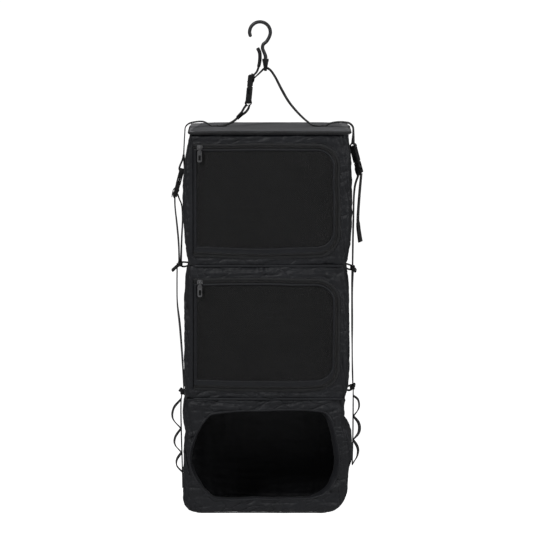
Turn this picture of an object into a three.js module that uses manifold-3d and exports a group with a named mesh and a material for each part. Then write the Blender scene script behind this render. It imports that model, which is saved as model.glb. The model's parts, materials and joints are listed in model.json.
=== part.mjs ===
// A hanging, collapsible packing-cube organiser: a stiffened lid, three fabric compartments on stiffened
// shelves, zipped mesh doors on the upper two, and a webbing hanger with a swivel hook.
// Millimetres, +Z up, the front faces -Y, and the origin is the inside top of the hook, where a rod bears.
import * as THREE from "three";
import { mergeVertices } from "three/addons/utils/BufferGeometryUtils.js";
import Module from "manifold-3d";

const wasm = await Module();
wasm.setup();

// ---- Driving dimensions -------------------------------------------------------------------------------

const GAP = 0.3; // clearance between pieces that touch
const FABRIC = 1.5; // thickness of a walled fabric panel
const BODY_X = 15; // middle of the fabric body, which hangs a little to the right of the hook
const BODY_HALF_WIDTH = 155; // at the seams
const BODY_HALF_DEPTH = 90;
const BULGE = 12; // how far a side wall bellies out between two seams
const FRONT = -BODY_HALF_DEPTH; // outer face of the front panels

const LID = { x: 17.5, halfWidth: 164, halfDepth: 95, corner: 20, top: -205, thickness: 8 };
const BODY_TOP = LID.top - LID.thickness - GAP;
const UPPER_SEAM = -475;
const LOWER_SEAM = -742;
const BASE = -974;
const SHELF_THICKNESS = 5.6;

const DOOR_HEADER = { upper: 25, middle: 31.5 }; // from a compartment's top seam to the middle of its zip
const DOOR_FOOTER = 26; // from the zip's lower run to the bottom seam
const DOOR_LEFT_MARGIN = 7;
const DOOR_RIGHT_MARGIN = 19;
const DOOR_CORNER = 40;
const TRACK_HALF = 1.2; // half of the slot between the two zip tapes
const TAPE = 4.5; // width of the tape on the frame
const DOOR_BORDER = 7; // from the track to the net, at the top and the sides
const DOOR_SILL = 13; // from the lower run of the track to the net
const SLIDER_START = 13; // from the hinge to the middle of a closed zip's slider

const WEBBING = { width: 15, thickness: 1.5 };
const KEEPER_CLEARANCE = 6; // from the seam to a keeper, past the belly of the wall
const SLIDER = { length: 11, height: 9, plate: 1.7 };
const PULLER = { width: 9, length: 29, thickness: 1.7 };
const BUCKLE = { width: 23, thickness: 10, socket: 33, base: 24, prong: 17 };
const HOOK = { wire: 3.7, radius: 20.7, centreX: -1 };
const SWIVEL_X = 10; // vertical axis that the hook turns on

// ---- Materials ----------------------------------------------------------------------------------------

const FINISHES = {
  nylon: { color: 0x2b2d31, roughness: 0.72, metalness: 0 },
  lidCloth: { color: 0x686a70, roughness: 0.6, metalness: 0 },
  net: { color: 0x17181a, roughness: 0.8, metalness: 0 },
  tape: { color: 0x1b1c1e, roughness: 0.75, metalness: 0 },
  webbing: { color: 0x141416, roughness: 0.65, metalness: 0 },
  plastic: { color: 0x18191b, roughness: 0.38, metalness: 0 },
  hookPlastic: { color: 0x303236, roughness: 0.42, metalness: 0 },
  metal: { color: 0x55575b, roughness: 0.32, metalness: 1 },
  board: { color: 0x8b8c8e, roughness: 0.6, metalness: 0 },
};

const organiser = new THREE.Group();

function add(name, geometry, finish) {
  const mesh = new THREE.Mesh(geometry, new THREE.MeshStandardMaterial(FINISHES[finish]));
  mesh.name = name;
  organiser.add(mesh);
  return mesh;
}

// ---- Solid helpers ------------------------------------------------------------------------------------

function solidOf(geometry) {
  const bare = geometry.clone();
  bare.deleteAttribute("normal");
  bare.deleteAttribute("uv");
  const merged = mergeVertices(bare, 1e-4);
  const mesh = new wasm.Mesh({
    numProp: 3,
    vertProperties: merged.attributes.position.array,
    triVerts: new Uint32Array(merged.index.array),
  });
  return new wasm.Manifold(mesh);
}

function geometryOf(solid) {
  const mesh = solid.getMesh();
  const geometry = new THREE.BufferGeometry();
  geometry.setAttribute("position", new THREE.BufferAttribute(mesh.vertProperties, 3));
  geometry.setIndex(new THREE.BufferAttribute(mesh.triVerts, 1));
  return geometry;
}

function joined(...geometries) {
  return geometryOf(geometries.map(solidOf).reduce((whole, piece) => whole.add(piece)));
}

function cut(geometry, ...tools) {
  return geometryOf(tools.map(solidOf).reduce((whole, tool) => whole.subtract(tool), solidOf(geometry)));
}

function block(x, y, z) {
  const [x0, x1] = x;
  const [y0, y1] = y;
  const [z0, z1] = z;
  const geometry = new THREE.BoxGeometry(x1 - x0, y1 - y0, z1 - z0);
  return geometry.translate((x0 + x1) / 2, (y0 + y1) / 2, (z0 + z1) / 2);
}

// An outline drawn in X and Z, made solid from y0 back to y1.
function upright(shape, y0, y1, curveSegments = 8) {
  const geometry = new THREE.ExtrudeGeometry(shape, { depth: y1 - y0, bevelEnabled: false, curveSegments });
  return geometry.rotateX(Math.PI / 2).translate(0, y1, 0);
}

// An outline drawn in X and Y, made solid from z0 up to z1.
function level(shape, z0, z1, curveSegments = 5) {
  const geometry = new THREE.ExtrudeGeometry(shape, { depth: z1 - z0, bevelEnabled: false, curveSegments });
  return geometry.translate(0, 0, z0);
}

function roundedRectangle(x0, x1, y0, y1, r, outline = new THREE.Shape()) {
  outline.moveTo(x0 + r, y0);
  outline.lineTo(x1 - r, y0);
  outline.absarc(x1 - r, y0 + r, r, -Math.PI / 2, 0);
  outline.lineTo(x1, y1 - r);
  outline.absarc(x1 - r, y1 - r, r, 0, Math.PI / 2);
  outline.lineTo(x0 + r, y1);
  outline.absarc(x0 + r, y1 - r, r, Math.PI / 2, Math.PI);
  outline.lineTo(x0, y0 + r);
  outline.absarc(x0 + r, y0 + r, r, Math.PI, 1.5 * Math.PI);
  return outline;
}

function smooth(points, steps, closed = false) {
  const curve = new THREE.CatmullRomCurve3(
    points.map(([x, z]) => new THREE.Vector3(x, z, 0)),
    closed,
    "centripetal",
  );
  const samples = curve.getPoints(steps).map((p) => new THREE.Vector2(p.x, p.y));
  return closed ? samples.slice(0, -1) : samples;
}

// The line beside an open or closed line of points, at a distance to its left.
function beside(line, distance, closed = false) {
  const last = line.length - 1;
  return line.map((point, i) => {
    const before = i > 0 ? line[i - 1] : closed ? line[last] : point;
    const after = i < last ? line[i + 1] : closed ? line[0] : point;
    const along = after.clone().sub(before).normalize();
    return new THREE.Vector2(point.x - along.y * distance, point.y + along.x * distance);
  });
}

function ribbon(points, thickness = WEBBING.thickness, steps = 3 * points.length) {
  const line = smooth(points, steps);
  return new THREE.Shape([...beside(line, thickness / 2), ...beside(line, -thickness / 2).reverse()]);
}

// A length of webbing seen edge-on: its width lies along Y.
function strap(points, { y = 0, width = WEBBING.width, thickness = WEBBING.thickness } = {}) {
  return upright(ribbon(points, thickness), y - width / 2, y + width / 2);
}

// ---- Lid, shelves and base ----------------------------------------------------------------------------

function lidPlate(inset, z0, z1) {
  const halfWidth = LID.halfWidth - inset;
  const halfDepth = LID.halfDepth - inset;
  const outline = roundedRectangle(
    LID.x - halfWidth, LID.x + halfWidth, -halfDepth, halfDepth, LID.corner - inset);
  return level(outline, z0, z1);
}

function addLid() {
  const rim = 3;
  const skin = 1.4;
  const bottom = LID.top - LID.thickness;
  add("lid_cover", lidPlate(rim + GAP, LID.top - skin, LID.top), "lidCloth");
  add("lid_board", lidPlate(rim + 3, LID.top - 5.5, LID.top - skin - GAP), "board");
  add("lid_lining", lidPlate(rim + GAP, bottom, LID.top - 5.5 - GAP), "nylon");
  const ring = cut(
    lidPlate(0, bottom + 0.2, LID.top - 0.2),
    lidPlate(rim, bottom - 1, LID.top + 1),
  );
  add("lid_binding", ring, "lidCloth");
}

// A fabric pocket, open along its rear edge, and the board that slides into it.
function addShelf(name, x, halfWidth, halfDepth, z0) {
  const z1 = z0 + SHELF_THICKNESS;
  const skin = 1.2;
  const board = 2.4;
  const corner = 14;
  const sleeve = level(
    roundedRectangle(x - halfWidth, x + halfWidth, -halfDepth, halfDepth, corner), z0, z1);
  const inner = halfWidth - 5;
  const pocket = block([x - inner, x + inner], [-halfDepth + 5, halfDepth + 5], [z0 + skin, z1 - skin]);
  add(`${name}_sleeve`, cut(sleeve, pocket), "nylon");
  const middle = (z0 + z1) / 2;
  const outline = roundedRectangle(
    x - inner + 1, x + inner - 1, -halfDepth + 6, halfDepth - 6, corner - 6);
  add(`${name}_board`, level(outline, middle - board / 2, middle + board / 2), "board");
}

// ---- Fabric walls -------------------------------------------------------------------------------------

// The outer line of each side wall, from its top seam to its bottom seam, as [x, z] points.
function bellied(side, top, bottom) {
  const seam = BODY_X + side * BODY_HALF_WIDTH;
  const middle = (top + bottom) / 2;
  const shoulder = (top - bottom) * 0.28;
  return [
    [seam, top],
    [seam + side * BULGE * 0.8, middle + shoulder],
    [seam + side * BULGE, middle],
    [seam + side * BULGE * 0.8, middle - shoulder],
    [seam, bottom],
  ];
}

// The lowest walls round inwards to the base: tightly on the left and softly on the right.
const BASE_LEFT = BODY_X - 139;
const BASE_RIGHT = BODY_X + 113;
const LOWEST_LEFT = [
  [BODY_X - BODY_HALF_WIDTH, LOWER_SEAM - GAP],
  [-151, -800],
  [-153, -880],
  [-148, -945],
  [-140, -962],
  [BASE_LEFT, -971],
];
const LOWEST_RIGHT = [
  [BODY_X + BODY_HALF_WIDTH, LOWER_SEAM - GAP],
  [179, -790],
  [182, -850],
  [176, -915],
  [160, -952],
  [BASE_RIGHT, -971],
];

function sideWall(line, side) {
  const outer = smooth(line, 14);
  const inner = beside(outer, side * -FABRIC);
  const outline = new THREE.Shape([...outer, ...inner.reverse()]);
  const reach = BODY_HALF_DEPTH - FABRIC - GAP;
  return upright(outline, -reach, reach);
}

function wallOutline(left, right) {
  return new THREE.Shape([...smooth(left, 14), ...smooth(right, 14).reverse()]);
}

function addWalls(name, left, right, opening) {
  add(`${name}_back_panel`, upright(wallOutline(left, right), BODY_HALF_DEPTH - FABRIC, BODY_HALF_DEPTH), "nylon");
  add(`${name}_left_side`, sideWall(left, -1), "nylon");
  add(`${name}_right_side`, sideWall(right, 1), "nylon");
  const front = wallOutline(left, right);
  front.holes.push(opening);
  add(`${name}_front_frame`, upright(front, FRONT, FRONT + FABRIC), "nylon");
}

// ---- Zipped mesh doors --------------------------------------------------------------------------------

// A zip's track runs along the top, down the right side and back along the bottom of the door.
function trackOf(name, top, bottom) {
  return {
    left: BODY_X - BODY_HALF_WIDTH + DOOR_LEFT_MARGIN,
    right: BODY_X + BODY_HALF_WIDTH - DOOR_RIGHT_MARGIN,
    top: top - DOOR_HEADER[name],
    bottom: bottom + DOOR_FOOTER,
  };
}

// A door's outline: square at the hinge on the left, round at the right, grown outwards from the track.
function doorOutline(track, grow, left, outline = new THREE.Shape()) {
  const r = DOOR_CORNER + grow;
  const [right, top, bottom] = [track.right + grow, track.top + grow, track.bottom - grow];
  outline.moveTo(left, top);
  outline.lineTo(left, bottom);
  outline.lineTo(right - r, bottom);
  outline.absarc(right - r, bottom + r, r, -Math.PI / 2, 0);
  outline.lineTo(right, top - r);
  outline.absarc(right - r, top - r, r, 0, Math.PI / 2);
  outline.lineTo(left, top);
  return outline;
}

function frameTape(track) {
  const outer = TRACK_HALF + TAPE;
  const full = upright(doorOutline(track, outer, track.left), FRONT, FRONT + FABRIC);
  const within = upright(doorOutline(track, TRACK_HALF, track.left - 5), FRONT - 1, FRONT + FABRIC + 1);
  return cut(full, within);
}

// A front plate over both tapes, a wedge between them, a back plate that clasps the door's tape alone, so
// that the slider can swing out with the door, and a bail on the front for the puller.
function zipSlider(x, z) {
  const { length, height, plate } = SLIDER;
  const half = [length / 2, height / 2];
  const front = FRONT - GAP;
  const back = FRONT + FABRIC + GAP;
  const frontPlate = upright(
    roundedRectangle(x - half[0], x + half[0], z - half[1], z + half[1], 2.5), front - plate, front, 4);
  const backPlate = block([x - half[0] + 1, x + half[0] - 1], [back, back + 1.2], [z - half[1], z]);
  const wedge = block([x - 2, x + 3], [front - 0.5, back + 0.5], [z - TRACK_HALF + 0.4, z + TRACK_HALF - 0.4]);
  const leg = (side) => block(
    [x + side * 3.4 - 0.6, x + side * 3.4 + 0.6], [front - plate - 3.6, front - plate + 0.5], [z - 1, z + 1]);
  const bar = block([x - 4, x + 4], [front - plate - 3.6, front - plate - 2.1], [z - 1, z + 1]);
  return joined(frontPlate, backPlate, wedge, leg(-1), leg(1), bar);
}

const PULL_PIVOT_Y = FRONT - GAP - SLIDER.plate - 2.85;

// A flat pull with a tubular eye round the slider's bail and a long window near its lower end.
function zipPuller(x, z) {
  const { width, length, thickness } = PULLER;
  const outline = new THREE.Shape();
  const half = width / 2;
  outline.moveTo(x - 1.3, z - 2);
  outline.lineTo(x + 1.3, z - 2);
  outline.lineTo(x + 2.4, z - 5);
  outline.lineTo(x + half, z - 8);
  outline.lineTo(x + half, z - length + 2);
  outline.lineTo(x + half - 2, z - length);
  outline.lineTo(x - half + 2, z - length);
  outline.lineTo(x - half, z - length + 2);
  outline.lineTo(x - half, z - 8);
  outline.lineTo(x - 2.4, z - 5);
  outline.holes.push(roundedRectangle(x - 2.2, x + 2.2, z - length + 3.2, z - length + 14, 1, new THREE.Path()));
  const plate = upright(outline, PULL_PIVOT_Y - thickness / 2, PULL_PIVOT_Y + thickness / 2, 3);
  const along = (radius, reach) => new THREE.CylinderGeometry(radius, radius, reach, 12)
    .rotateZ(Math.PI / 2).translate(x, PULL_PIVOT_Y, z);
  return cut(joined(plate, along(2.5, 2.6)), along(1.6, 4));
}

function addDoor(name, track) {
  const { left } = track;
  const hinge = left + 0.3;
  const border = doorOutline(track, -TRACK_HALF, hinge);
  const raised = { ...track, bottom: track.bottom + DOOR_SILL - DOOR_BORDER };
  border.holes.push(doorOutline(raised, -DOOR_BORDER, hinge + DOOR_BORDER, new THREE.Path()));
  add(`${name}_door_border`, upright(border, FRONT, FRONT + FABRIC), "nylon");
  const net = doorOutline(raised, -DOOR_BORDER - GAP, hinge + DOOR_BORDER + GAP);
  add(`${name}_door_net`, upright(net, FRONT + 0.3, FRONT + 1.2), "net");
  add(`${name}_zip_tape`, frameTape(track), "tape");
  const sliderX = left + SLIDER_START;
  add(`${name}_zip_slider`, zipSlider(sliderX, track.top), "metal");
  add(`${name}_zip_puller`, zipPuller(sliderX, track.top), "metal");
}

function addDoorCompartment(name, top, bottom) {
  const track = trackOf(name, top, bottom);
  const opening = doorOutline(track, TRACK_HALF + TAPE + GAP, track.left - 1, new THREE.Path());
  addWalls(name, bellied(-1, top, bottom), bellied(1, top, bottom), opening);
  addDoor(name, track);
}

// ---- Open lower compartment ---------------------------------------------------------------------------

// The soft opening gapes: wide at mid height, narrower at its top and bottom edges.
const MOUTH = [
  [-102, -771], [-60, -766.5], [20, -764.5], [90, -764], [130, -768], [147, -805], [156, -845],
  [157, -880], [145, -918], [115, -941], [40, -945], [-60, -946.5], [-96, -943], [-120, -918],
  [-141, -876], [-143, -846], [-126, -806],
];

function mouthLoop(inset) {
  return beside(smooth(MOUTH, 44, true), -inset, true);
}

function addOpenCompartment(name) {
  addWalls(name, LOWEST_LEFT, LOWEST_RIGHT, new THREE.Path(mouthLoop(0)));
  const hem = cut(
    upright(new THREE.Shape(mouthLoop(GAP)), FRONT - 2.5, FRONT + FABRIC + 2.5),
    upright(new THREE.Shape(mouthLoop(5)), FRONT - 5, FRONT + FABRIC + 5),
  );
  add(`${name}_opening_hem`, hem, "nylon");
}

// ---- Hook and hanger ----------------------------------------------------------------------------------

const YOKE = { top: -69, bar: -91 };

function hookLine() {
  const { radius, centreX, wire } = HOOK;
  const centreZ = -radius + wire; // leaves the inside top of the wire at the origin
  const turns = [208, 180, 150, 120, 90, 60, 30, 0, -28];
  const bow = turns.map((degrees) => {
    const angle = THREE.MathUtils.degToRad(degrees);
    return [centreX + radius * Math.cos(angle), centreZ + radius * Math.sin(angle)];
  });
  const stem = [[12, -35.5], [5.4, -41.5], [4.2, -49], [7.6, -58], [SWIVEL_X, -65], [SWIVEL_X, -70]];
  return [...bow, ...stem];
}

function hookGeometry() {
  const points = hookLine().map(([x, z]) => new THREE.Vector3(x, 0, z));
  const path = new THREE.CatmullRomCurve3(points, false, "centripetal");
  const section = new THREE.Shape().absarc(0, 0, HOOK.wire, 0, 2 * Math.PI);
  const wire = new THREE.ExtrudeGeometry(section, {
    steps: 34, extrudePath: path, bevelEnabled: false, curveSegments: 5 });
  // The stem narrows to a pin through the yoke and ends in a head below its top plate.
  const pin = new THREE.LatheGeometry(
    [[0, -79], [3.4, -79], [3.4, -76.5], [1.9, -75.5], [1.9, -69], [0, -69]].map(
      ([r, z]) => new THREE.Vector2(r, z)), 10);
  pin.rotateX(Math.PI / 2).translate(SWIVEL_X, 0, 0);
  return joined(wire, pin);
}

function yokeGeometry() {
  const x = SWIVEL_X;
  const top = block([x - 6.5, x + 6.5], [-10, 10], [YOKE.top - 5.5, YOKE.top - 1.5]);
  const bore = new THREE.CylinderGeometry(2.3, 2.3, 12, 12).rotateX(Math.PI / 2).translate(x, 0, YOKE.top - 3);
  const leg = (side) => {
    const outline = new THREE.Shape();
    outline.moveTo(x - 6.5, YOKE.top - 2);
    outline.lineTo(x + 6.5, YOKE.top - 2);
    outline.lineTo(x + 2.6, YOKE.bar - 2.6);
    outline.lineTo(x - 2.6, YOKE.bar - 2.6);
    return upright(outline, side * 9.2 - 0.9, side * 9.2 + 0.9);
  };
  const bar = new THREE.CylinderGeometry(2, 2, 18.4, 10).translate(x, 0, YOKE.bar);
  return joined(cut(top, bore), leg(-1), leg(1), bar);
}

// Buckle halves in their own frame: the length runs down -Z from the mouth, the width lies along Y.
function buckleSocket() {
  const half = [BUCKLE.thickness / 2, BUCKLE.width / 2];
  const end = -BUCKLE.socket;
  const shell = upright(roundedRectangle(-half[0], half[0], end, 0, 2), -half[1], half[1], 3);
  const cavity = block([-3, 3], [-9.9, 9.9], [-BUCKLE.prong - 2, 1]);
  const windows = block([-2, 2], [-half[1] - 1, half[1] + 1], [-14, -5]);
  const slot = block([-half[0] - 1, half[0] + 1], [-8.5, 8.5], [end + 3.2, end + 7.4]);
  return cut(shell, cavity, windows, slot);
}

function buckleProngs() {
  const half = BUCKLE.width / 2;
  const base = upright(roundedRectangle(-4.6, 4.6, GAP + 0.2, BUCKLE.base, 1.8), -half, half, 3);
  const slots = [5, 13].map((z) => block([-6, 6], [-8.5, 8.5], [z, z + 4.2]));
  const guide = block([-1.4, 1.4], [-1.8, 1.8], [-BUCKLE.prong, GAP + 2]);
  const arm = (side) => {
    const outline = new THREE.Shape();
    outline.moveTo(side * 5.6, GAP + 2);
    outline.lineTo(side * 8.4, GAP + 2);
    outline.lineTo(side * 8.4, -4.5);
    outline.lineTo(side * 9.6, -5.5);
    outline.lineTo(side * 9.4, -12);
    outline.lineTo(side * 6.6, -BUCKLE.prong);
    outline.lineTo(side * 5.6, -BUCKLE.prong);
    return upright(outline, -1.7, 1.7).rotateZ(Math.PI / 2);
  };
  return joined(cut(base, ...slots), guide, arm(-1), arm(1));
}

// Puts a buckle half, turned about its own length and then in the plane of the front, with its mouth at
// x and z.
function placed(geometry, { x, z, tilt, yaw = 0 }) {
  return geometry.rotateZ(yaw).rotateY(tilt).translate(x, 0, z);
}

const HANGER_BUCKLE = { x: -21.2, z: -126, tilt: 0.095, yaw: -0.1 };

function addHanger() {
  add("hook", hookGeometry(), "hookPlastic");
  add("swivel_yoke", yokeGeometry(), "plastic");
  add("hanger_buckle_prongs", placed(buckleProngs(), HANGER_BUCKLE), "plastic");
  add("hanger_buckle_socket", placed(buckleSocket(), HANGER_BUCKLE), "plastic");
  const sewn = LID.top + GAP + WEBBING.thickness / 2;
  const overBar = YOKE.bar + 2 + GAP + WEBBING.thickness / 2;
  add("hanger_strap_right", strap([
    [-16.5, -100.5], [-8, -96], [2, -91], [SWIVEL_X, overBar], [18, -91], [28, -104], [41, -129],
    [56, -155], [74, -177], [92, -194], [104, -202], [114, sewn], [124, sewn],
  ]), "webbing");
  add("hanger_strap_left", strap([
    [-25.5, -163.5], [-30, -169], [-36, -180], [-45, -189], [-55, -196], [-68, -201.5], [-78, sewn], [-88, sewn],
  ]), "webbing");
  add("hanger_strap_tail", strap([[-21, -97], [-18, -86], [-12, -70], [-6, -50]], { thickness: 2.6 }), "webbing");
  add("hanger_tri_glide", triGlide(-41.5, -183.5, 0.75), "plastic");
}

// A small three-bar slide that lies against the strap.
function triGlide(x, z, tilt) {
  const plate = block([-3.6, -1.4], [-10.5, 10.5], [-6.5, 6.5]);
  const slots = [-4.2, 1].map((low) => block([-5, 0], [-8.2, 8.2], [low, low + 3.2]));
  return placed(cut(plate, ...slots), { x, z, tilt });
}

// ---- Side straps --------------------------------------------------------------------------------------

// A webbing loop sewn to the body's seam, which the side strap runs through.
function keeper(x0, x1, z0, z1) {
  const outline = roundedRectangle(x0, x1, -11, 11, 3);
  outline.holes.push(roundedRectangle(x0 + 1.5, x1 - 1.5, -9.5, 9.5, 2, new THREE.Path()));
  return level(outline, z0, z1, 4);
}

// A flat strap with a second strap sewn to it at intervals, which stands out in loops.
function daisyChain(flat, loops) {
  return joined(strap(flat), ...loops.map((points) => strap(points)));
}

function addLeftStraps() {
  const sewn = LID.top + GAP + WEBBING.thickness / 2;
  add("left_lid_strap", strap([
    [-90, sewn], [-100, -200.5], [-114, -195.5], [-130, -196], [-143, -199.5], [-149.6, -206],
    [-151, -218], [-153, -245], [-154.5, -270], [-156, -287],
  ]), "webbing");
  const buckle = { x: -165, z: -322, tilt: 0.26 };
  add("left_buckle_socket", placed(turnedOver(buckleSocket()), buckle), "plastic");
  add("left_buckle_prongs", placed(turnedOver(buckleProngs()), buckle), "plastic");
  add("left_main_strand", strap([
    [-168, -348.5], [-159.8, -359], [-156.5, -385], [-158, -430], [-159.5, -478],
  ]), "webbing");
  add("left_strap_tail", strap([[-173, -348.5], [-168, -380], [-163, -430], [-163, -478]]), "webbing");
  add("left_upper_keeper", keeper(-172, BODY_X - BODY_HALF_WIDTH - KEEPER_CLEARANCE, -488, -473), "webbing");
  add("left_middle_strap", strap([
    [-167, -481], [-167.5, -520], [-167, -560], [-162, -607], [-156.5, -686], [-154, -727],
  ]), "webbing");
  add("left_lower_keeper", keeper(-165, BODY_X - BODY_HALF_WIDTH - KEEPER_CLEARANCE, -748, -732), "webbing");
  add("left_daisy_chain", daisyChain(
    [[-157, -736], [-160, -760], [-159.5, -830], [-158, -890], [-157, -936]],
    [
      [[-160, -756], [-175, -775], [-177, -795], [-159.5, -817]],
      [[-159.5, -815], [-172, -834], [-173, -848], [-158.6, -866]],
      [[-158.6, -864], [-169, -880], [-169, -892], [-157.8, -905]],
    ]), "webbing");
}

function addRightStraps() {
  const sewn = LID.top + GAP + WEBBING.thickness / 2;
  add("right_lid_strap", strap([
    [126, sewn], [134, -200.5], [148, -197], [166, -196.5], [178, -199], [184.4, -206], [185.5, -216],
    [185.5, -234], [185, -243],
  ]), "webbing");
  const buckle = { x: 193, z: -276, tilt: -0.26, yaw: -0.24 };
  add("right_buckle_socket", placed(turnedOver(buckleSocket()), buckle), "plastic");
  add("right_buckle_prongs", placed(turnedOver(buckleProngs()), buckle), "plastic");
  add("right_main_strand", strap([[197, -302.3], [188.5, -325], [186, -400], [184.5, -487]]), "webbing");
  add("right_strap_tail", strap([[201.5, -302.3], [198, -340], [195, -396], [200, -436]]), "webbing");
  add("right_upper_keeper", keeper(BODY_X + BODY_HALF_WIDTH + KEEPER_CLEARANCE, 192, -496, -481), "webbing");
  add("right_middle_strap", strap([[188, -489], [185.5, -530], [184, -600], [184.5, -680], [186, -727]]), "webbing");
  add("right_lower_keeper", keeper(BODY_X + BODY_HALF_WIDTH + KEEPER_CLEARANCE, 192, -746, -731), "webbing");
  add("right_daisy_chain", daisyChain(
    [[186.5, -735], [186.5, -780], [186, -840], [185, -890]],
    [
      [[186.6, -749], [196, -757], [198, -774], [186.4, -792]],
      [[186.4, -790], [198, -806], [198, -824], [186, -840]],
      [[186, -838], [196, -856], [195, -872], [185.2, -889]],
    ]), "webbing");
}

// Turns a buckle half end for end, so that the socket's mouth faces down.
function turnedOver(geometry) {
  return geometry.rotateY(Math.PI);
}

addLid();
addDoorCompartment("upper", BODY_TOP, UPPER_SEAM + GAP / 2);
addShelf("upper_shelf", BODY_X, BODY_HALF_WIDTH - FABRIC - GAP, BODY_HALF_DEPTH - FABRIC - GAP, UPPER_SEAM - 2.8);
addDoorCompartment("middle", UPPER_SEAM - GAP / 2, LOWER_SEAM + GAP / 2);
addShelf("lower_shelf", BODY_X, BODY_HALF_WIDTH - FABRIC - GAP, BODY_HALF_DEPTH - FABRIC - GAP, LOWER_SEAM - 2.8);
addOpenCompartment("lower");
addShelf("base", (BASE_LEFT + BASE_RIGHT) / 2, (BASE_RIGHT - BASE_LEFT) / 2 - 4,
  BODY_HALF_DEPTH - FABRIC - GAP, BASE);
addHanger();
addLeftStraps();
addRightStraps();

export default organiser;
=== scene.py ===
import json
import math
from collections import namedtuple

import bmesh
import bpy
import numpy as np
from mathutils import Matrix, Vector

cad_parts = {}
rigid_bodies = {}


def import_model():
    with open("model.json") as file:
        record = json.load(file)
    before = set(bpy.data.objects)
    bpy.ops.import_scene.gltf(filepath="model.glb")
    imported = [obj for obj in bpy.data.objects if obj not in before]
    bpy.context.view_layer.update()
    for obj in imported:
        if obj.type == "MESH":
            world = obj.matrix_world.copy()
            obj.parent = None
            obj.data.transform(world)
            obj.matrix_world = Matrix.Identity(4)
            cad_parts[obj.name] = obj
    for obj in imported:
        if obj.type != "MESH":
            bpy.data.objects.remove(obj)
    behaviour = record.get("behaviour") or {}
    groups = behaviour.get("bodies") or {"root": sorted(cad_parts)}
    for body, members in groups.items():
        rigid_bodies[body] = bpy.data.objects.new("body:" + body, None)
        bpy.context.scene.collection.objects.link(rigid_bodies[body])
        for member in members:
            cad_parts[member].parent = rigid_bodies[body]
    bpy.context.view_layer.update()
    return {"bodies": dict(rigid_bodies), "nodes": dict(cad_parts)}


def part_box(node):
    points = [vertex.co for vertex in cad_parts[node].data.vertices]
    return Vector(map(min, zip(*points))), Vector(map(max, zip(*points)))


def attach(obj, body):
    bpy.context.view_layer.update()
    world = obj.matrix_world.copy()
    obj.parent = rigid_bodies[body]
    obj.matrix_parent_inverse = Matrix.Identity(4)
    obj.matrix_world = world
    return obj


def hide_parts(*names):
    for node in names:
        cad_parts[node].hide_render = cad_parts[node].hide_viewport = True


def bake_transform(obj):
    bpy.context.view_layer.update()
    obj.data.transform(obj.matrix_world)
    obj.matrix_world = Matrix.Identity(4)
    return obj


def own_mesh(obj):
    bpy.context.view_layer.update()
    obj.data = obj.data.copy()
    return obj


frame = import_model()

MM = 0.001


def node_box(name):
    """A CAD node's lowest and highest corners, in millimetres."""
    low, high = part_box(name)
    return np.array(low) / MM, np.array(high) / MM


# ---- Places taken from the frame ----------------------------------------------------------------------

LEVELS = ("upper", "middle", "lower")
BODY_X = sum(node_box("upper_shelf_sleeve")[i][0] for i in (0, 1)) / 2
HALF_DEPTH = -node_box("upper_front_frame")[0][1]
TOP = {level: node_box(f"{level}_back_panel")[1][2] for level in LEVELS}
BOTTOM = {level: node_box(f"{level}_back_panel")[0][2] for level in LEVELS}
BOTTOM["lower"] = round(node_box("base_sleeve")[0][2], 3)
TRACK_OUTER = 5.7  # from the middle of a zip to the outer edge of its frame tape
TRACK = {}
for _level in LEVELS[:2]:
    _low, _high = node_box(f"{_level}_zip_tape")
    TRACK[_level] = {
        "left": _low[0],
        "right": _high[0] - TRACK_OUTER,
        "bottom": _low[2] + TRACK_OUTER,
        "top": _high[2] - TRACK_OUTER,
    }
DOOR_CORNER = 40.0
RIGID_BELOW_TRACK = 6.0  # the zip's top run lies above the fold line, in the piece that is cut off whole and so does the lower compartment's front above its mouth
RIGID_BELOW_SEAM = 28.0  # and so does the lower compartment's front above its mouth
FOLD_LINE = {level: TRACK[level]["top"] - RIGID_BELOW_TRACK for level in LEVELS[:2]}
FOLD_LINE["lower"] = TOP["lower"] - RIGID_BELOW_SEAM
FOLD_BODY = {"upper": "lid_section", "middle": "upper_shelf", "lower": "lower_shelf"}

# ---- Noise --------------------------------------------------------------------------------------------


def lattice(ix, iy, iz, seed):
    """A repeatable value from -1 to 1 at each whole place."""
    h = (ix * 374761393 + iy * 668265263 + iz * 1442695041 + seed * 974711) & 0xFFFFFFFF
    h = ((h ^ (h >> 13)) * 1274126177) & 0xFFFFFFFF
    return ((h ^ (h >> 16)) & 0xFFFF) / 32767.5 - 1.0


def noise(points, scale, seed):
    """Smooth noise from -1 to 1. scale is the size of a lump along each axis."""
    p = np.asarray(points, float) / np.asarray(scale, float)
    base = np.floor(p).astype(np.int64)
    f = p - base
    w = f * f * f * (f * (f * 6 - 15) + 10)
    total = 0.0
    for corner in range(8):
        offset = [(corner >> axis) & 1 for axis in range(3)]
        weight = 1.0
        for axis in range(3):
            weight = weight * (w[..., axis] if offset[axis] else 1 - w[..., axis])
        total = total + weight * lattice(*(base[..., axis] + offset[axis] for axis in range(3)), seed)
    return total


def folds(points, scale, seed):
    """Soft ridges with narrow valleys between them, like cloth pushed together."""
    warp = noise(points, [3 * s for s in scale], seed + 11)[..., None] * np.asarray(scale) * 0.9
    a = noise(points + warp, scale, seed)
    b = noise(points + warp, [0.55 * s for s in scale], seed + 5)
    return (0.5 - np.abs(a)) + 0.45 * (0.5 - np.abs(b))


def crease_lines(points, scale, seed, width):
    """1 along thin wandering lines, and 0 between them."""
    warp = noise(points, [2 * s for s in scale], seed + 11)[..., None] * np.asarray(scale) * 0.5
    return np.exp(-((noise(points + warp, scale, seed) / width) ** 2))


def crinkle(points, seed):
    """The shallow crush of light nylon, in every direction."""
    return 0.6 * folds(points, (26, 26, 17), seed) + 0.4 * folds(points, (11, 11, 8), seed + 3)


# ---- Mesh helpers -------------------------------------------------------------------------------------


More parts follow.
